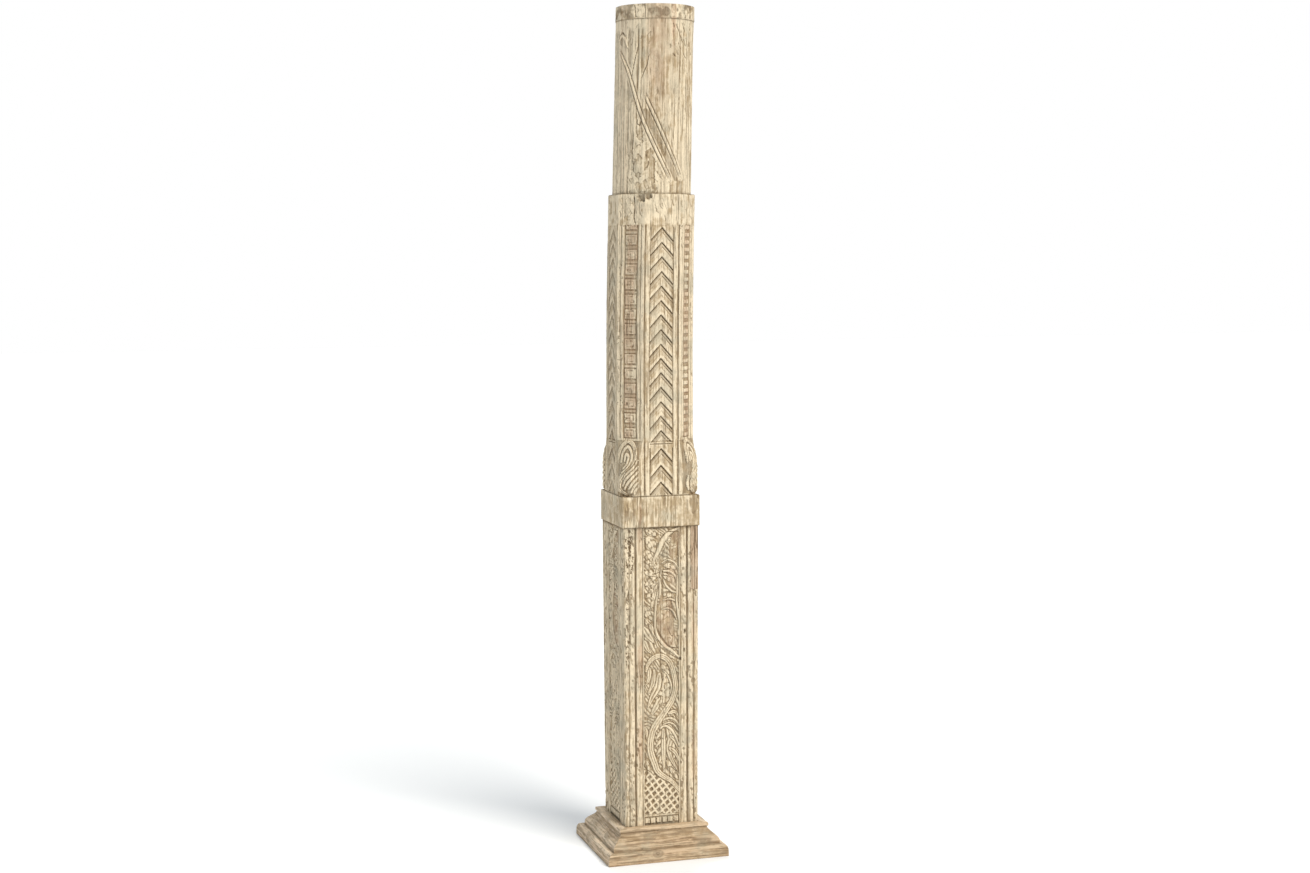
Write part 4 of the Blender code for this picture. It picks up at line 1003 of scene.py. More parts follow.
def wrap(name, co, values):
    """A grid rolled into a closed ring of columns and closed at both ends, with values on its points."""
    rows, columns = co.shape[:2]
    bpy.ops.object.select_all(action="DESELECT")
    bpy.ops.mesh.primitive_grid_add(x_subdivisions=columns, y_subdivisions=rows - 1, size=1)
    piece = bpy.context.active_object
    piece.name = piece.data.name = name
    flat = np.empty(len(piece.data.vertices) * 3, np.float32)
    piece.data.vertices.foreach_get("co", flat)
    i = np.rint((flat[0::3] + 0.5) * columns).astype(int)
    j = np.rint((flat[1::3] + 0.5) * (rows - 1)).astype(int)
    piece.data.vertices.foreach_set("co", co[j, i % columns].astype(np.float32).ravel())
    for key, grid in values.items():
        layer = piece.data.attributes.new(key, "FLOAT", "POINT")
        layer.data.foreach_set("value", grid[j, i % columns].astype(np.float32))
    bpy.ops.object.mode_set(mode="EDIT")
    bpy.ops.mesh.select_all(action="SELECT")
    bpy.ops.mesh.remove_doubles(threshold=0.000001)
    bpy.ops.mesh.select_mode(type="EDGE")
    bpy.ops.mesh.select_all(action="DESELECT")
    bpy.ops.mesh.select_non_manifold(extend=False, use_wire=False, use_multi_face=False,
                                     use_non_contiguous=False, use_verts=False)
    bpy.ops.mesh.edge_face_add()
    bpy.ops.mesh.select_all(action="SELECT")
    bpy.ops.mesh.normals_make_consistent(inside=False)
    bpy.ops.object.mode_set(mode="OBJECT")
    return piece


def pick(piece):
    """Select one piece alone and make it the active one."""
    bpy.ops.object.select_all(action="DESELECT")
    bpy.context.view_layer.objects.active = piece
    piece.select_set(True)


def lighten(piece, triangles):
    """Fewer faces where the surface is flat, until the piece has no more than it may."""
    faces = sum(len(p.vertices) - 2 for p in piece.data.polygons)
    if faces > triangles:
        step = piece.modifiers.new("lighten", "DECIMATE")
        step.ratio = triangles / faces
        pick(piece)
        bpy.ops.object.modifier_apply(modifier=step.name)


def finish_wood(piece, paint, angle=50):
    """Give a piece its wood, smooth its shading and set it on the column's body."""
    piece.data.materials.clear()
    piece.data.materials.append(bpy.data.materials[paint])
    pick(piece)
    bpy.ops.object.shade_smooth_by_angle(angle=radians(angle))
    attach(piece, "root")


def shaft_piece(name, data, weight=None):
    """A carved length of the shaft, from the points of its rings to its finished wood."""
    weight = 1.0 if weight is None else np.asarray(weight)[:, None]
    height = data["height"] * weight
    co = lean(data["co"] + data["normal"] * height[..., None], bpy.context.scene.column_sizes)
    # Hollows are darkened by how far they lie below their surroundings: old finish in the cuts, and painted
    # shade.
    hollow = blur(height, 4) - height
    fine = blur(height, 2) - height
    hollow_shade_and_dirt = np.clip(hollow / BROAD_HOLLOW, 0, 1) * 0.75 + np.clip(fine / FINE_HOLLOW, 0, 1) * 0.5
    ridge = np.clip(-hollow / WORN_RIDGE, 0, 1) + data["pale"]
    piece = wrap(name, co, {"hollow_shade_and_dirt": np.clip(hollow_shade_and_dirt, 0, 1), "ridge": ridge, "dirt_and_shade": data["dirt_and_shade"],
                            "rust": data["rust"]})
    lighten(piece, TRIANGLES)
    finish_wood(piece, "limed_shaft")
    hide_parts("shaft")


def steps(low, high, pitch):
    """Even heights from low to high, about a pitch apart."""
    return np.linspace(low, high, max(int(round((high - low) / pitch)), 1) + 1)


def link(tree, a, b):
    """Join an output to an input."""
    tree.links.new(a, b)


class Nodes:
    """Short ways to add shader nodes to one tree."""

    def __init__(self, tree):
        self.tree = tree

    def add(self, kind, inputs=None, **values):
        """A node with its inputs linked or set."""
        node = self.tree.nodes.new(kind)
        for name, value in values.items():
            setattr(node, name, value)
        for name, value in (inputs or {}).items():
            socket = node.inputs[name]
            if isinstance(value, bpy.types.NodeSocket):
                self.tree.links.new(value, socket)
            else:
                socket.default_value = value
        return node

    def maths(self, operation, a, b=0.0, clamp=False):
        node = self.add("ShaderNodeMath", {0: a, 1: b}, operation=operation, use_clamp=clamp)
        return node.outputs[0]

    def blend(self, factor, a, b):
        """Two colours mixed by a factor."""
        node = self.add("ShaderNodeMix", data_type="RGBA", blend_type="MIX")
        for index, value in ((0, factor), (6, a), (7, b)):
            if isinstance(value, bpy.types.NodeSocket):
                self.tree.links.new(value, node.inputs[index])
            elif index:
                node.inputs[index].default_value = (*value, 1.0)
            else:
                node.inputs[index].default_value = value
        return node.outputs[2]

    def ramp(self, value, low, high):
        """A smooth step from 0 to 1 between two values."""
        node = self.add("ShaderNodeMapRange", {"Value": value, "From Min": low, "From Max": high},
                        interpolation_type="SMOOTHSTEP")
        return node.outputs["Result"]

    def noise(self, vector, scale, detail=3.0, rough=0.55):
        node = self.add("ShaderNodeTexNoise", {"Vector": vector, "Scale": scale, "Detail": detail,
                                               "Roughness": rough})
        return node.outputs["Fac"]


def sockets(tree, in_out, kind, names):
    """Named sockets of a shader node group."""
    for name in names:
        tree.interface.new_socket(name, in_out=in_out, socket_type="NodeSocket" + kind)


def grain_group():
    """Grain of dry teak along Z: fine streaks, broad bands, pores and their height."""
    tree = bpy.data.node_groups.new("Grain", "ShaderNodeTree")
    sockets(tree, "INPUT", "Vector", ("Vector",))
    sockets(tree, "OUTPUT", "Float", ("Streaks", "Bands", "Pores", "Height"))
    n = Nodes(tree)
    source = n.add("NodeGroupInput").outputs["Vector"]
    sink = n.add("NodeGroupOutput")
    sway = n.noise(source, 9.0, 2.0)
    bent = n.add("ShaderNodeCombineXYZ")
    shift = n.maths("MULTIPLY", n.maths("SUBTRACT", sway, 0.5), 0.012)
    split = n.add("ShaderNodeSeparateXYZ", {0: source})
    link(tree, n.maths("ADD", split.outputs["X"], shift), bent.inputs["X"])
    link(tree, n.maths("ADD", split.outputs["Y"], shift), bent.inputs["Y"])
    link(tree, split.outputs["Z"], bent.inputs["Z"])

    def along(across, up):
        """The bent place, scaled across the grain and along it."""
        scale = {0: bent.outputs[0], 1: (across, across, up)}
        return n.add("ShaderNodeVectorMath", scale, operation="MULTIPLY").outputs[0]

    streaks = n.noise(along(260, 9), 1.0, 4.0, 0.6)
    bands = n.noise(along(75, 2.0), 1.0, 3.0, 0.5)
    pores = n.ramp(n.noise(along(1100, 45), 1.0, 2.0), 0.42, 0.32)
    height = n.maths("ADD", n.maths("MULTIPLY", streaks, 0.7), n.maths("MULTIPLY", bands, 0.5))
    height = n.maths("SUBTRACT", height, n.maths("MULTIPLY", pores, 0.5))
    for name, value in (("Streaks", streaks), ("Bands", bands), ("Pores", pores), ("Height", height)):
        link(tree, value, sink.inputs[name])
    return tree


def lime_group():
    """Old brown finish and painted shade in the cuts, lime on the high places and weathering between."""
    tree = bpy.data.node_groups.new("Limed wood", "ShaderNodeTree")
    sockets(tree, "INPUT", "Float", ("Hollow_shade_and_dirt", "Ridge", "Dirt_and_shade", "Rust", "Streaks", "Bands", "Pores"))
    sockets(tree, "INPUT", "Vector", ("Vector",))
    sockets(tree, "INPUT", "Color", ("Lime", "Wood", "Brown", "Red", "Grey"))
    sockets(tree, "OUTPUT", "Color", ("Colour",))
    sockets(tree, "OUTPUT", "Float", ("Roughness",))
    n = Nodes(tree)
    source = n.add("NodeGroupInput").outputs
    sink = n.add("NodeGroupOutput")
    patches = n.noise(source["Vector"], 16.0, 4.0, 0.6)
    clouds = n.noise(source["Vector"], 55.0, 4.0, 0.65)
    speckle = n.noise(source["Vector"], 420.0, 3.0, 0.7)
    limed = n.maths("ADD", n.maths("MULTIPLY", source["Streaks"], 0.55), n.maths("MULTIPLY", clouds, 0.45))
    limed = n.maths("ADD", limed, n.maths("MULTIPLY", source["Ridge"], 0.22))
    limed = n.maths("ADD", limed, n.maths("MULTIPLY", n.maths("SUBTRACT", patches, 0.5), 0.35))
    colour = n.blend(n.ramp(limed, 0.40, 0.66), source["Wood"], source["Lime"])
    grey = n.maths("MULTIPLY", n.ramp(patches, 0.50, 0.68), 0.42)
    colour = n.blend(grey, colour, source["Grey"])
    red = n.maths("MULTIPLY", source["Rust"], n.ramp(clouds, 0.25, 0.60), clamp=True)
    colour = n.blend(n.maths("MULTIPLY", red, 0.62), colour, source["Red"])
    lines = n.maths("MULTIPLY", n.ramp(source["Streaks"], 0.45, 0.32), 0.40)
    colour = n.blend(lines, colour, source["Brown"])
    colour = n.blend(n.maths("MULTIPLY", source["Pores"], 0.35), colour, source["Brown"])
    spots = n.maths("MULTIPLY", n.ramp(speckle, 0.38, 0.28), 0.30)
    colour = n.blend(spots, colour, source["Brown"])
    # Darkening towards brown in the hollows is old finish and dirt, and painted shade.
    deep = n.maths("MAXIMUM", n.maths("MULTIPLY", source["Hollow_shade_and_dirt"], 0.80), source["Dirt_and_shade"])
    deep = n.maths("MULTIPLY", deep, n.ramp(clouds, 0.10, 0.55))
    colour = n.blend(n.maths("MULTIPLY", deep, 0.86, clamp=True), colour, source["Brown"])
    link(tree, colour, sink.inputs["Colour"])
    rough = n.maths("ADD", n.maths("MULTIPLY", speckle, 0.16), 0.74)
    link(tree, rough, sink.inputs["Roughness"])
    return tree


def wood_paint(name, groups, colours, turn=(0.0, 0.0, 0.0), tints=None, bump_depth=0.0005):
    """A limed wood; turn lays its grain along the piece."""
    paint = bpy.data.materials.new(name)
    paint.use_nodes = True
    tree = paint.node_tree
    n = Nodes(tree)
    shader = tree.nodes["Principled BSDF"]
    place = n.add("ShaderNodeTexCoord").outputs["Object"]
    mapped = n.add("ShaderNodeMapping", {"Vector": place, "Rotation": turn}).outputs[0]
    grain_node = n.add("ShaderNodeGroup", node_tree=groups[0])
    link(tree, mapped, grain_node.inputs["Vector"])
    lime_node = n.add("ShaderNodeGroup", node_tree=groups[1])
    link(tree, mapped, lime_node.inputs["Vector"])
    for socket in ("Hollow_shade_and_dirt", "Ridge", "Dirt_and_shade", "Rust"):
        source = n.add("ShaderNodeAttribute", attribute_name=socket.lower())
        link(tree, source.outputs["Fac"], lime_node.inputs[socket])
    for socket in ("Streaks", "Bands", "Pores"):
        link(tree, grain_node.outputs[socket], lime_node.inputs[socket])
    tints = tints or {}
    for socket, value in (("Lime", colours.lime), ("Wood", colours.wood), ("Brown", colours.brown),
                         ("Red", colours.rust), ("Grey", colours.moss)):
        lime_node.inputs[socket].default_value = (*tints.get(socket, value), 1.0)
    link(tree, lime_node.outputs["Colour"], shader.inputs["Base Color"])
    link(tree, lime_node.outputs["Roughness"], shader.inputs["Roughness"])
    raised = n.add("ShaderNodeBump", {"Height": grain_node.outputs["Height"], "Strength": 0.6,
                                      "Distance": bump_depth})
    link(tree, raised.outputs["Normal"], shader.inputs["Normal"])
    shader.inputs["Specular IOR Level"].default_value = 0.25
    return paint


STRIP_TINTS = {"Lime": (0.64, 0.50, 0.36), "Wood": (0.42, 0.305, 0.20)}
PLINTH_X_TINTS = {"Lime": (0.62, 0.47, 0.31), "Wood": (0.37, 0.255, 0.145)}
# The left and right lengths of the plinth are painted paler than the front and back: painted light against
# the shade on their sides.
PLINTH_Y_PAINTED_LIGHT_TINTS = {"Lime": (0.76, 0.61, 0.44), "Wood": (0.49, 0.36, 0.23)}


class COLUMN_OT_paints(bpy.types.Operator):
    """Mix the wood finishes"""
    bl_idname = "column.paints"
    bl_label = "Wood finishes"

    def execute(self, context):
        colours = context.scene.wood_colours
        groups = grain_group(), lime_group()
        wood_paint("limed_shaft", groups, colours)
        wood_paint("limed_strip", groups, colours, tints=STRIP_TINTS)
        wood_paint("limed_plinth_x", groups, colours, (0.0, radians(90), 0.0), PLINTH_X_TINTS)
        # The side lengths get paler tints, as painted light.
        wood_paint("limed_plinth_y", groups, colours, (radians(90), 0.0, 0.0), PLINTH_Y_PAINTED_LIGHT_TINTS)
        return {"FINISHED"}


def strip_seat(data):
    """Cut the seat of the let-in strip: its corner's points move onto the two walls of the seat."""
    low, high = PATCH_BOX
    inner, back = low.x - CLEARANCE, high.y + CLEARANCE
    co = data["co"]
    rows = np.nonzero(co[:-1, 0, 2] > low.z - CLEARANCE)[0]
    for row in rows:
        x, y = co[row, :, 0], co[row, :, 1]
        front = y.min()
        taken = np.nonzero((x > inner) & (y < back))[0]
        wall, floor = back - front, x.max() - inner
        way = np.linspace(0, wall + floor, len(taken) + 2)[1:-1]
        co[row, taken, 0] = inner + np.clip(way - wall, 0, None)
        co[row, taken, 1] = front + np.clip(way, None, wall)
        data["height"][row, taken] = 0.0
        data["dirt_and_shade"][row, taken] = 0.9


class COLUMN_OT_square(bpy.types.Operator):
    """Carve the square length of the shaft"""
    bl_idname = "column.square"
    bl_label = "Square shaft"

    def execute(self, context):
        sizes, carving = context.scene.column_sizes, context.scene.carving_sizes
        seat_foot = PATCH_BOX[0].z - CLEARANCE
        z = np.concatenate([steps(0.0, sizes.plinth_top - 0.008, 0.02)[:-1],
                            steps(sizes.plinth_top - 0.008, seat_foot - 0.0001, SQUARE_ROW),
                            steps(seat_foot + 0.0001, sizes.square_top - 0.0008, SQUARE_ROW),
                            [sizes.square_top + TENON]])
        share = np.clip((z - sizes.plinth_top) / (sizes.square_top - sizes.plinth_top), 0, 1)
        half = sizes.foot_half + (sizes.square_half - sizes.foot_half) * share
        half[-1] -= 0.003

        def fill(field, turn, s):
            if turn % 90 == 0:
                square_side(field, sizes, carving, turn)
                shaft_marks(field, turn)
            else:
                field.height -= 0.0014 * ease(layers(field.z / 0.02, field.u * 0, 61 + turn, 3), 0.45, 0.75)
            grain(field, s)

        weight = ease(z, sizes.plinth_top - 0.007, sizes.plinth_top - 0.003)
        weight[-1] = 0
        zone = Zone(z, half, np.full(z.shape, sizes.arris), 0.0025, SQUARE_POINTS)
        data = zone.rings(fill)
        strip_seat(data)
        shaft_piece("shaft_square", data, weight)
        return {"FINISHED"}


class COLUMN_OT_stops(bpy.types.Operator):
    """Carve the collar and the corner leaves above it"""
    bl_idname = "column.stops"
    bl_label = "Collar and stops"

    def execute(self, context):
        sizes, carving = context.scene.column_sizes, context.scene.carving_sizes
        edge = 0.0016
        collar = steps(sizes.square_top, sizes.collar_top, COLLAR_ROW)
        above = steps(sizes.collar_top + 0.0004, sizes.stop_top, STOP_ROW)
        z = np.concatenate([[sizes.square_top] * 2, collar, [sizes.collar_top] * 2, above,
                            [sizes.stop_top + TENON]])
        worn = np.minimum(collar - sizes.square_top, sizes.collar_top - collar)
        collar_half = sizes.collar_half - edge * np.clip(1 - worn / edge, 0, 1) ** 2
        half = np.concatenate([[sizes.square_half - 0.012, sizes.collar_half - 2 * edge], collar_half,
                               [sizes.collar_half - 1.5 * edge, sizes.stop_half - 0.0006],
                               main_half(above, sizes), [sizes.octagon_foot - 0.002]])
        cut = np.concatenate([[sizes.arris] * 2, np.full(collar.shape, sizes.arris), [sizes.arris + 0.004],
                              [stop_cut(sizes.collar_top, sizes)], stop_cut(above, sizes),
                              [sizes.corner_cut]])

        def fill(field, turn, s):
            if turn % 90 == 0:
                octagon_side(field, sizes, carving, turn)
                lap_leaves(field, sizes)
                collar_marks(field, sizes, turn)
            else:
                stop_leaf(field, sizes)
            grain(field, s)

        weight = np.ones(z.shape)
        weight[:2] = 0
        weight[-1] = 0
        zone = Zone(z, half, cut, 0.0022, STOP_POINTS)
        shaft_piece("shaft_stops", zone.rings(fill), weight)
        return {"FINISHED"}


class COLUMN_OT_octagon(bpy.types.Operator):
    """Carve the eight-sided length of the shaft"""
    bl_idname = "column.octagon"
    bl_label = "Eight-sided shaft"

    def execute(self, context):
        sizes, carving = context.scene.column_sizes, context.scene.carving_sizes
        edge = 0.0015
        z = np.concatenate([steps(sizes.stop_top, sizes.plain_top, OCTAGON_ROW), [sizes.plain_top] * 2])
        half = main_half(z, sizes)
        half[-3:] = sizes.octagon_half - edge * np.array([0.3, 1.5, 8])

        def fill(field, turn, s):
            if turn % 90 == 0:
                octagon_side(field, sizes, carving, turn)
            else:
                corner_strip(field, sizes, carving, turn)
            shoulder_marks(field, sizes, turn)
            grain(field, s)

        weight = np.ones(z.shape)
        weight[-1] = 0
        zone = Zone(z, half, np.full(z.shape, sizes.corner_cut), 0.0022, OCTAGON_POINTS)
        shaft_piece("shaft_octagon", zone.rings(fill), weight)
        return {"FINISHED"}


class COLUMN_OT_head(bpy.types.Operator):
    """Shape the round head with its ribbon, splits and rim"""
    bl_idname = "column.head"
    bl_label = "Round head"

    def execute(self, context):
        sizes = context.scene.column_sizes
        edge = 0.0018
        side = steps(sizes.plain_top, sizes.rim_foot, HEAD_ROW)
        rim = steps(sizes.rim_foot + 0.0005, sizes.top - edge, HEAD_ROW)
        inward = np.linspace(1, 0.02, 44)[1:]
        z = np.concatenate([[sizes.plain_top - TENON], side, rim, [sizes.top - 0.0004],
                            np.full(inward.shape, sizes.top)])
        radius = np.concatenate([[sizes.head_foot - 0.002], head_radius(side, sizes),
                                 np.full(rim.shape, sizes.rim), [sizes.rim - 0.0006],
                                 (sizes.rim - edge) * inward])
        turn = np.linspace(-pi, pi, HEAD_POINTS, endpoint=False)
        u = np.repeat(turn[None] * sizes.head_foot, len(z), 0)
        up = np.repeat(z[:, None], HEAD_POINTS, 1)
        field = Field(u, up, 5)
        head_side(field, sizes)
        grain(field, u + 0.36)
        x, y = radius[:, None] * np.sin(turn), -radius[:, None] * np.cos(turn)
        top = up >= sizes.top
        weight = np.where(top, 0.0, 1.0)
        weight[0] = 0
        normal = np.stack([np.sin(turn) + 0 * up, -np.cos(turn) + 0 * up, 0 * up], -1)
        end = end_grain(x, y)
        sawn = up + np.where(top, end["height"], 0.0)
        data = {"co": np.stack([x, y, sawn], -1), "normal": normal, "height": field.height * weight,
                "dirt_and_shade": np.where(top, end["dirt_and_shade"], field.dirt_and_shade), "rust": np.where(top, 0.0, field.rust),
                "pale": field.pale}
        shaft_piece("shaft_head", data)
        return {"FINISHED"}


def end_grain(x, y):
    """The sawn top: rings, rays, heart checks and a bruised edge."""
    away = np.hypot(x - HEART[0], y - HEART[1])
    turn = np.arctan2(y - HEART[1], x - HEART[0])
    rings = noise(away / 0.0022 + 1.2 * layers(x / 0.04, y / 0.04, 301), turn * 0, 302)
    height = -0.0005 * rings
    dirt_and_shade = 0.35 * ease(rings, 0.45, 0.15)
    for k, start in enumerate(HEART_CRACKS):
        bend = start + 0.25 * (noise(away / 0.02, away * 0, 310 + k) - 0.5)
        gap = np.abs((turn - bend + pi) % (2 * pi) - pi) * away
        reach = 0.035 + 0.05 * ((k * 7) % 5) / 5
        crack = ease(gap, 0.0013, 0.0003) * ease(away, reach, reach * 0.5) * (away > 0.002)
        height = height - 0.0028 * crack
        dirt_and_shade = np.maximum(dirt_and_shade, 0.95 * crack)
    height = height - 0.0006 * layers(x / 0.01, y / 0.01, 320)
    return {"height": np.minimum(height, 0.0), "dirt_and_shade": dirt_and_shade}


class COLUMN_OT_patch(bpy.types.Operator):
    """Shape the strip let into the right front corner"""
    bl_idname = "column.patch"
    bl_label = "Corner strip"

    def execute(self, context):
        low, high = PATCH_BOX
        z = steps(low.z, high.z, 0.0012)
        round_edge = 0.003
        face = np.linspace(0, 1, 26, endpoint=False)
        corners = [(low.x, low.y), (high.x, low.y), (high.x, high.y), (low.x, high.y)]
        ring = []
        for a, b in zip(corners, corners[1:] + corners[:1]):
            ring += [(a[0] + (b[0] - a[0]) * t, a[1] + (b[1] - a[1]) * t) for t in face]
        ring = np.array(ring)
        x = np.repeat(ring[None, :, 0], len(z), 0)
        y = np.repeat(ring[None, :, 1], len(z), 0)
        up = np.repeat(z[:, None], len(ring), 1)
        corner = np.hypot(np.clip(x - (high.x - round_edge), 0, None),
                          np.clip(low.y + round_edge - y, 0, None))
        pull = np.clip(corner - round_edge, 0, None)
        x, y = x - pull * 0.7, y + pull * 0.7
        front = ease(y, low.y + 0.001, low.y)
        side = ease(x, high.x - 0.001, high.x)
        across = np.where(front > 0.5, x, high.x + (y - low.y))
        streak = layers(across / 0.0024, up / 0.05, 401, 2)
        crack = np.exp(-((layers(across / 0.007, up / 0.12, 404, 2) - 0.5) / 0.020) ** 2)
        reed = bump(x, (low.x + high.x) / 2, 0.0014)
        height = -0.0007 * (1 - streak) - 0.0016 * crack - 0.0018 * reed * front
        x, y = x + side * height, y - front * height
        dirt_and_shade = np.clip(0.9 * crack + 0.4 * ease(streak, 0.45, 0.3) + 0.6 * reed * front, 0, 1)
        dirt_and_shade = dirt_and_shade * np.maximum(front, side)
        co = np.stack([x, y, up], -1)
        # The reed's groove is darkened as painted shade, beside its dirt.
        piece = wrap("let_in_strip", co, {"hollow_shade_and_dirt": 0.3 * reed * front, "ridge": 0 * up, "dirt_and_shade": dirt_and_shade,
                                          "rust": 0.18 + 0 * up})
        finish_wood(piece, "limed_strip", 40)
        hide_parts("corner_patch")
        return {"FINISHED"}


def moulding(sizes, half_box):
    """Half width and height round the moulding's section, starting inside at the floor."""
    fascia, edge, step, quirk = 0.030, 0.009, 0.010, 0.0015
    ogee_half, swell, fillet = 0.121, 0.0055, 0.008
    points = [(half_box, 0.0)]
    for turn in np.linspace(0, pi / 2, 9):
        points.append((half_box - edge * (1 - cos(turn)), fascia - edge * 2 * (1 - sin(turn))))
    start = half_box - edge - step
    points.append((start + 0.0006, fascia + 0.0004))
    points.append((start, fascia + quirk))
    top = sizes.plinth_top - fillet
    for share in np.linspace(0, 1, 15)[1:-1]:
        points.append((start + (ogee_half - start) * share + swell * sin(2 * pi * share * 0.85),
                       fascia + quirk + (top - fascia - quirk) * share))
    points += [(ogee_half, top), (0.1208, sizes.plinth_top - 0.002), (0.119, sizes.plinth_top)]
    return np.array(points)


def dense(points, pitch):
    """More points along an outline, none further apart than the pitch."""
    out = []
    for a, b in zip(points[:-1], points[1:]):
        count = max(int(np.ceil(np.hypot(*(b - a)) / pitch)), 1)
        out += [a + (b - a) * k / count for k in range(count)]
    return np.array(out + [points[-1]])


class COLUMN_OT_plinth(bpy.types.Operator):
    """Run the four mitred mouldings round the foot"""
    bl_idname = "column.plinth"
    bl_label = "Plinth mouldings"

    def execute(self, context):
        sizes = context.scene.column_sizes
        inner = sizes.foot_half + CLEARANCE
        outline = dense(moulding(sizes, PLINTH_BOX[1].x + CLEARANCE / sqrt(2)), 0.0016)
        top = sizes.plinth_top
        outline = np.vstack([[(inner, 0.0)], outline, [(inner + 0.004, top)], [(inner, top)]])
        for name, turn in zip(("front", "right", "back", "left"), SIDES):
            self.run(name, turn, outline, sizes)
        return {"FINISHED"}

    def run(self, name, turn, outline, sizes):
        """One mitred length of the moulding, with its grain, dirt and knot."""
        share = np.linspace(-1, 1, 190)
        half, z = outline[:, 0], outline[:, 1]
        u = share[:, None] * (half[None] - CLEARANCE / 2 * sqrt(2))
        out = np.repeat(half[None], len(share), 0)
        up = np.repeat(z[None], len(share), 0)
        run_along = np.concatenate([[0], np.cumsum(np.hypot(*np.diff(outline, axis=0).T))])
        s = np.repeat(run_along[None], len(share), 0)
        seed = 500 + turn
        streak = layers(u / 0.06, s / 0.0030, seed, 2)
        broad = layers(u / 0.20, s / 0.0110, seed + 3, 2)
        check = np.exp(-((broad - 0.5) / 0.012) ** 2) * ease(layers(u / 0.06, s / 0.02, seed + 6), 0.5, 0.65)
        bruise = ease(layers(u / 0.014, s / 0.010, seed + 8), 0.62, 0.80)
        height = -0.0006 * (1 - streak) - 0.0012 * check - 0.0010 * bruise
        dirt_and_shade = np.maximum(0.75 * check, 0.45 * ease(streak, 0.44, 0.30))
        dirt_and_shade = np.maximum(dirt_and_shade, 0.55 * ease(layers(u / 0.05, s / 0.0050, seed + 12, 2), 0.38, 0.28))
        knot_u, knot_s = -0.030, run_along[np.argmin(np.abs(z - 0.023))]
        if turn == 0:
            away = np.hypot((u - knot_u) / 1.3, s - knot_s)
            rings = noise(away / 0.0016, away * 0, seed + 9)
            knot = ease(away, 0.015, 0.006)
            height -= 0.0012 * knot * (0.4 + rings)
            dirt_and_shade = np.maximum(dirt_and_shade, knot * (0.50 + 0.5 * ease(rings, 0.55, 0.3)))
        normal = np.gradient(outline, axis=0)
        normal = np.stack([normal[:, 1], -normal[:, 0]], -1)
        normal /= np.maximum(np.hypot(*normal.T)[:, None], 1e-9)
        keep = (half > sizes.foot_half + 0.006) * (z > 0.0005)
        height = height * keep[None]
        out = out + normal[None, :, 0] * height
        up = up + normal[None, :, 1] * height
        # The section's hollows are darkened as painted shade, with old finish, and its rounds worn pale.
        fold = blur_rows(s * 0 + crease(outline)[None], 1)
        a = radians(turn)
        x = sin(a) * out + cos(a) * u
        y = -cos(a) * out + sin(a) * u
        co = np.stack([x, y, np.maximum(up, 0.0)], -1)
        piece = wrap("moulding_" + name, co, {
            "hollow_shade_and_dirt": np.clip(fold, 0, 1) * 0.5, "ridge": np.clip(-fold, 0, 1),
            "dirt_and_shade": dirt_and_shade * keep[None], "rust": 0.30 * ease(broad, 0.5, 0.75)})
        axis = "x" if turn % 180 == 0 else "y"
        finish_wood(piece, "limed_plinth_" + axis, 40)
        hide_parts("plinth_" + name)


def crease(outline):
    """How hollow the section is at each of its points, with round places below zero."""
    before = np.roll(outline, 3, 0)
    after = np.roll(outline, -3, 0)
    middle = (before + after) / 2 - outline
    return np.clip((middle[:, 0] + middle[:, 1]) / 0.0012, -1, 1)


def blur_rows(values, reach):
    """Values averaged with their neighbours along the outline."""
    return (np.roll(values, reach, 1) + values + np.roll(values, -reach, 1)) / 3


FLOOR_SIZE, FLOOR_HEIGHT = 60, -0.0004
FLOOR_COLOUR = (0.96, 0.96, 0.96, 1)
AMBIENT = 0.41
LAMP_DISTANCE = 6
# Name, heading from the front towards the right, height, strength, spread in degrees and colour.
LAMPS = (("key", 24, 44, 2.8, 30, (1.0, 0.965, 0.90)), ("side", -112, 24, 0.38, 14, (0.90, 0.95, 1.0)),
         ("back", 165, 35, 1.0, 20, (1.0, 1.0, 1.0)))
SKY = (0.86, 0.94, 1.0)
CAMERA_PLACE = (-1.5444, -5.0606, 1.561)
CAMERA_HEADING = radians(17.13)
CAMERA_PITCH = radians(-5.06)
CAMERA_ROLL = radians(-0.23)
CAMERA_LENS = 55.68


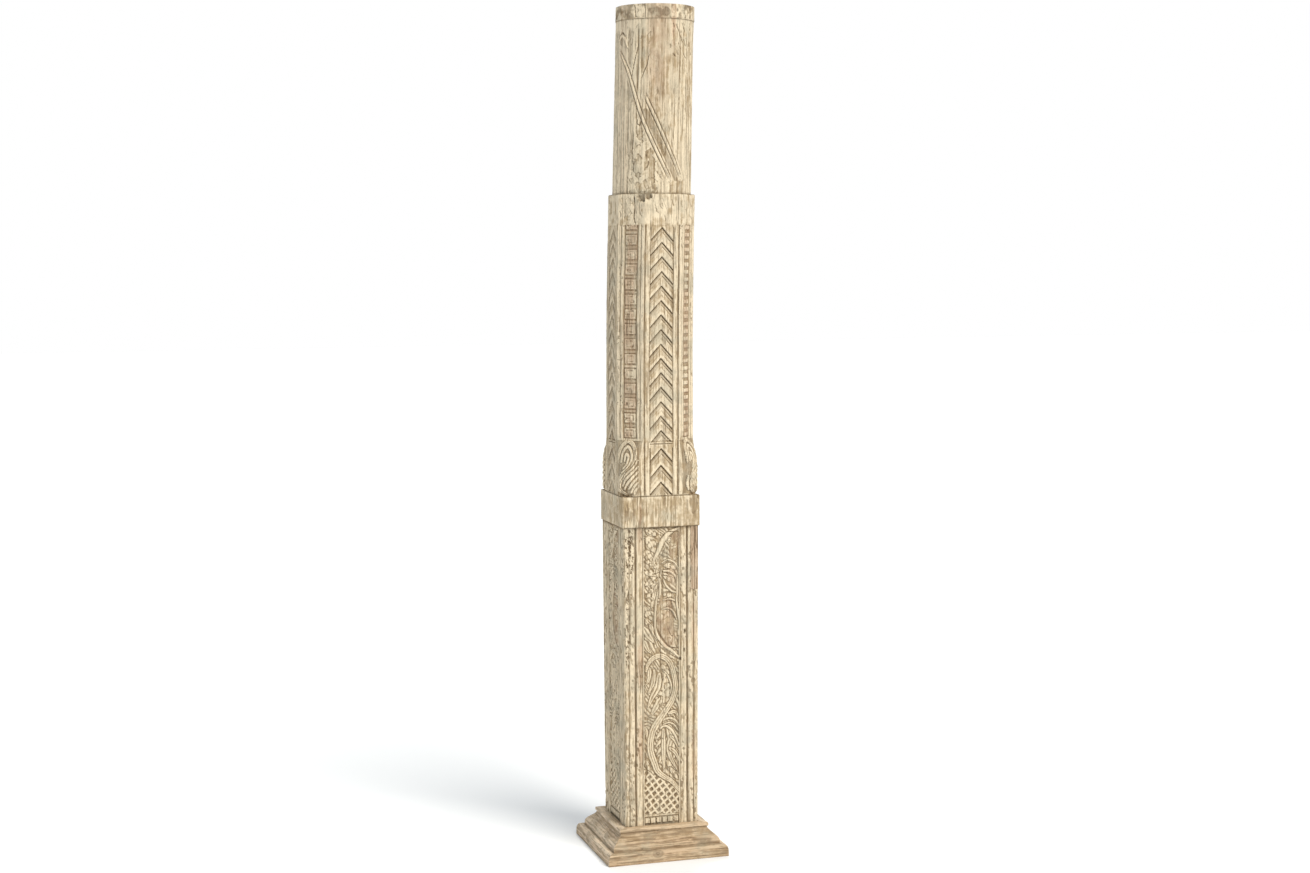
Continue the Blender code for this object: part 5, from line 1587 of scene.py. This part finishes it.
class COLUMN_OT_stage(bpy.types.Operator):
    """Set the floor, the lights and the camera"""
    bl_idname = "column.stage"
    bl_label = "Stage"

    def execute(self, context):
        floor = self.floor()
        self.lights(context)
        self.camera(context)
        return {"FINISHED"}

    def floor(self):
        """The pale floor that the column stands on."""
        bpy.ops.object.select_all(action="DESELECT")
        bpy.ops.mesh.primitive_plane_add(size=FLOOR_SIZE, location=(0, 0, FLOOR_HEIGHT))
        floor = bpy.context.active_object
        floor.name = "floor"
        paint = bpy.data.materials.new("floor_paint")
        paint.use_nodes = True
        shader = paint.node_tree.nodes["Principled BSDF"]
        shader.inputs["Base Color"].default_value = FLOOR_COLOUR
        shader.inputs["Roughness"].default_value = 0.9
        floor.data.materials.append(paint)
        return floor

    def lights(self, context):
        """A white ground to the camera, a bluish sky to the wood, and three lamps."""
        world = bpy.data.worlds.new("studio")
        context.scene.world = world
        world.use_nodes = True
        n = Nodes(world.node_tree)
        seen = n.add("ShaderNodeLightPath").outputs["Is Camera Ray"]
        glow = n.maths("ADD", n.maths("MULTIPLY", seen, 1.0 - AMBIENT), AMBIENT)
        sky = world.node_tree.nodes["Background"]
        link(world.node_tree, n.blend(seen, SKY, (1.0, 1.0, 1.0)), sky.inputs["Color"])
        link(world.node_tree, glow, sky.inputs["Strength"])
        for name, heading, height, power, spread, tint in LAMPS:
            lamp = bpy.data.lights.new(name, "SUN")
            lamp.angle = radians(spread)
            lamp.energy = power
            lamp.color = tint
            thing = bpy.data.objects.new(name, lamp)
            context.scene.collection.objects.link(thing)
            away = Vector((sin(radians(heading)) * cos(radians(height)),
                           -cos(radians(heading)) * cos(radians(height)), sin(radians(height))))
            thing.location = away * LAMP_DISTANCE
            thing.rotation_euler = away.to_track_quat("Z", "Y").to_euler()
        context.scene.view_settings.view_transform = "Standard"

    def camera(self, context):
        """The camera that was fitted to the photograph."""
        lens = bpy.data.cameras.new("camera")
        lens.lens = CAMERA_LENS
        lens.sensor_width = 36.0
        thing = bpy.data.objects.new("camera", lens)
        context.scene.collection.objects.link(thing)
        thing.location = CAMERA_PLACE
        ahead = Vector((sin(CAMERA_HEADING) * cos(CAMERA_PITCH), cos(CAMERA_HEADING) * cos(CAMERA_PITCH),
                        sin(CAMERA_PITCH)))
        thing.rotation_euler = ahead.to_track_quat("-Z", "Y").to_euler()
        thing.rotation_euler.rotate_axis("Z", CAMERA_ROLL)
        context.scene.camera = thing


class COLUMN_PT_panel(bpy.types.Panel):
    """Sizes and colours of the column, and its making"""
    bl_label = "Carved column"
    bl_idname = "COLUMN_PT_panel"
    bl_space_type = "VIEW_3D"
    bl_region_type = "UI"
    bl_category = "Column"

    def draw(self, context):
        for group in (context.scene.column_sizes, context.scene.carving_sizes, context.scene.wood_colours):
            box = self.layout.box()
            for name in group.__annotations__:
                box.prop(group, name)
        for operator in OPERATORS:
            self.layout.operator(operator.bl_idname)


OPERATORS = (COLUMN_OT_paints, COLUMN_OT_square, COLUMN_OT_stops, COLUMN_OT_octagon, COLUMN_OT_head,
             COLUMN_OT_patch, COLUMN_OT_plinth, COLUMN_OT_stage)
CLASSES = (ColumnSizes, CarvingSizes, WoodColours, *OPERATORS, COLUMN_PT_panel)


def register():
    for item in CLASSES:
        bpy.utils.register_class(item)
    bpy.types.Scene.column_sizes = PointerProperty(type=ColumnSizes)
    bpy.types.Scene.carving_sizes = PointerProperty(type=CarvingSizes)
    bpy.types.Scene.wood_colours = PointerProperty(type=WoodColours)


def unregister():
    for name in ("column_sizes", "carving_sizes", "wood_colours"):
        delattr(bpy.types.Scene, name)
    for item in reversed(CLASSES):
        bpy.utils.unregister_class(item)


def main():
    """Make the whole column."""
    register()
    for operator in OPERATORS:
        group, name = operator.bl_idname.split(".")
        getattr(getattr(bpy.ops, group), name)()


if __name__ == "__main__":
    main()
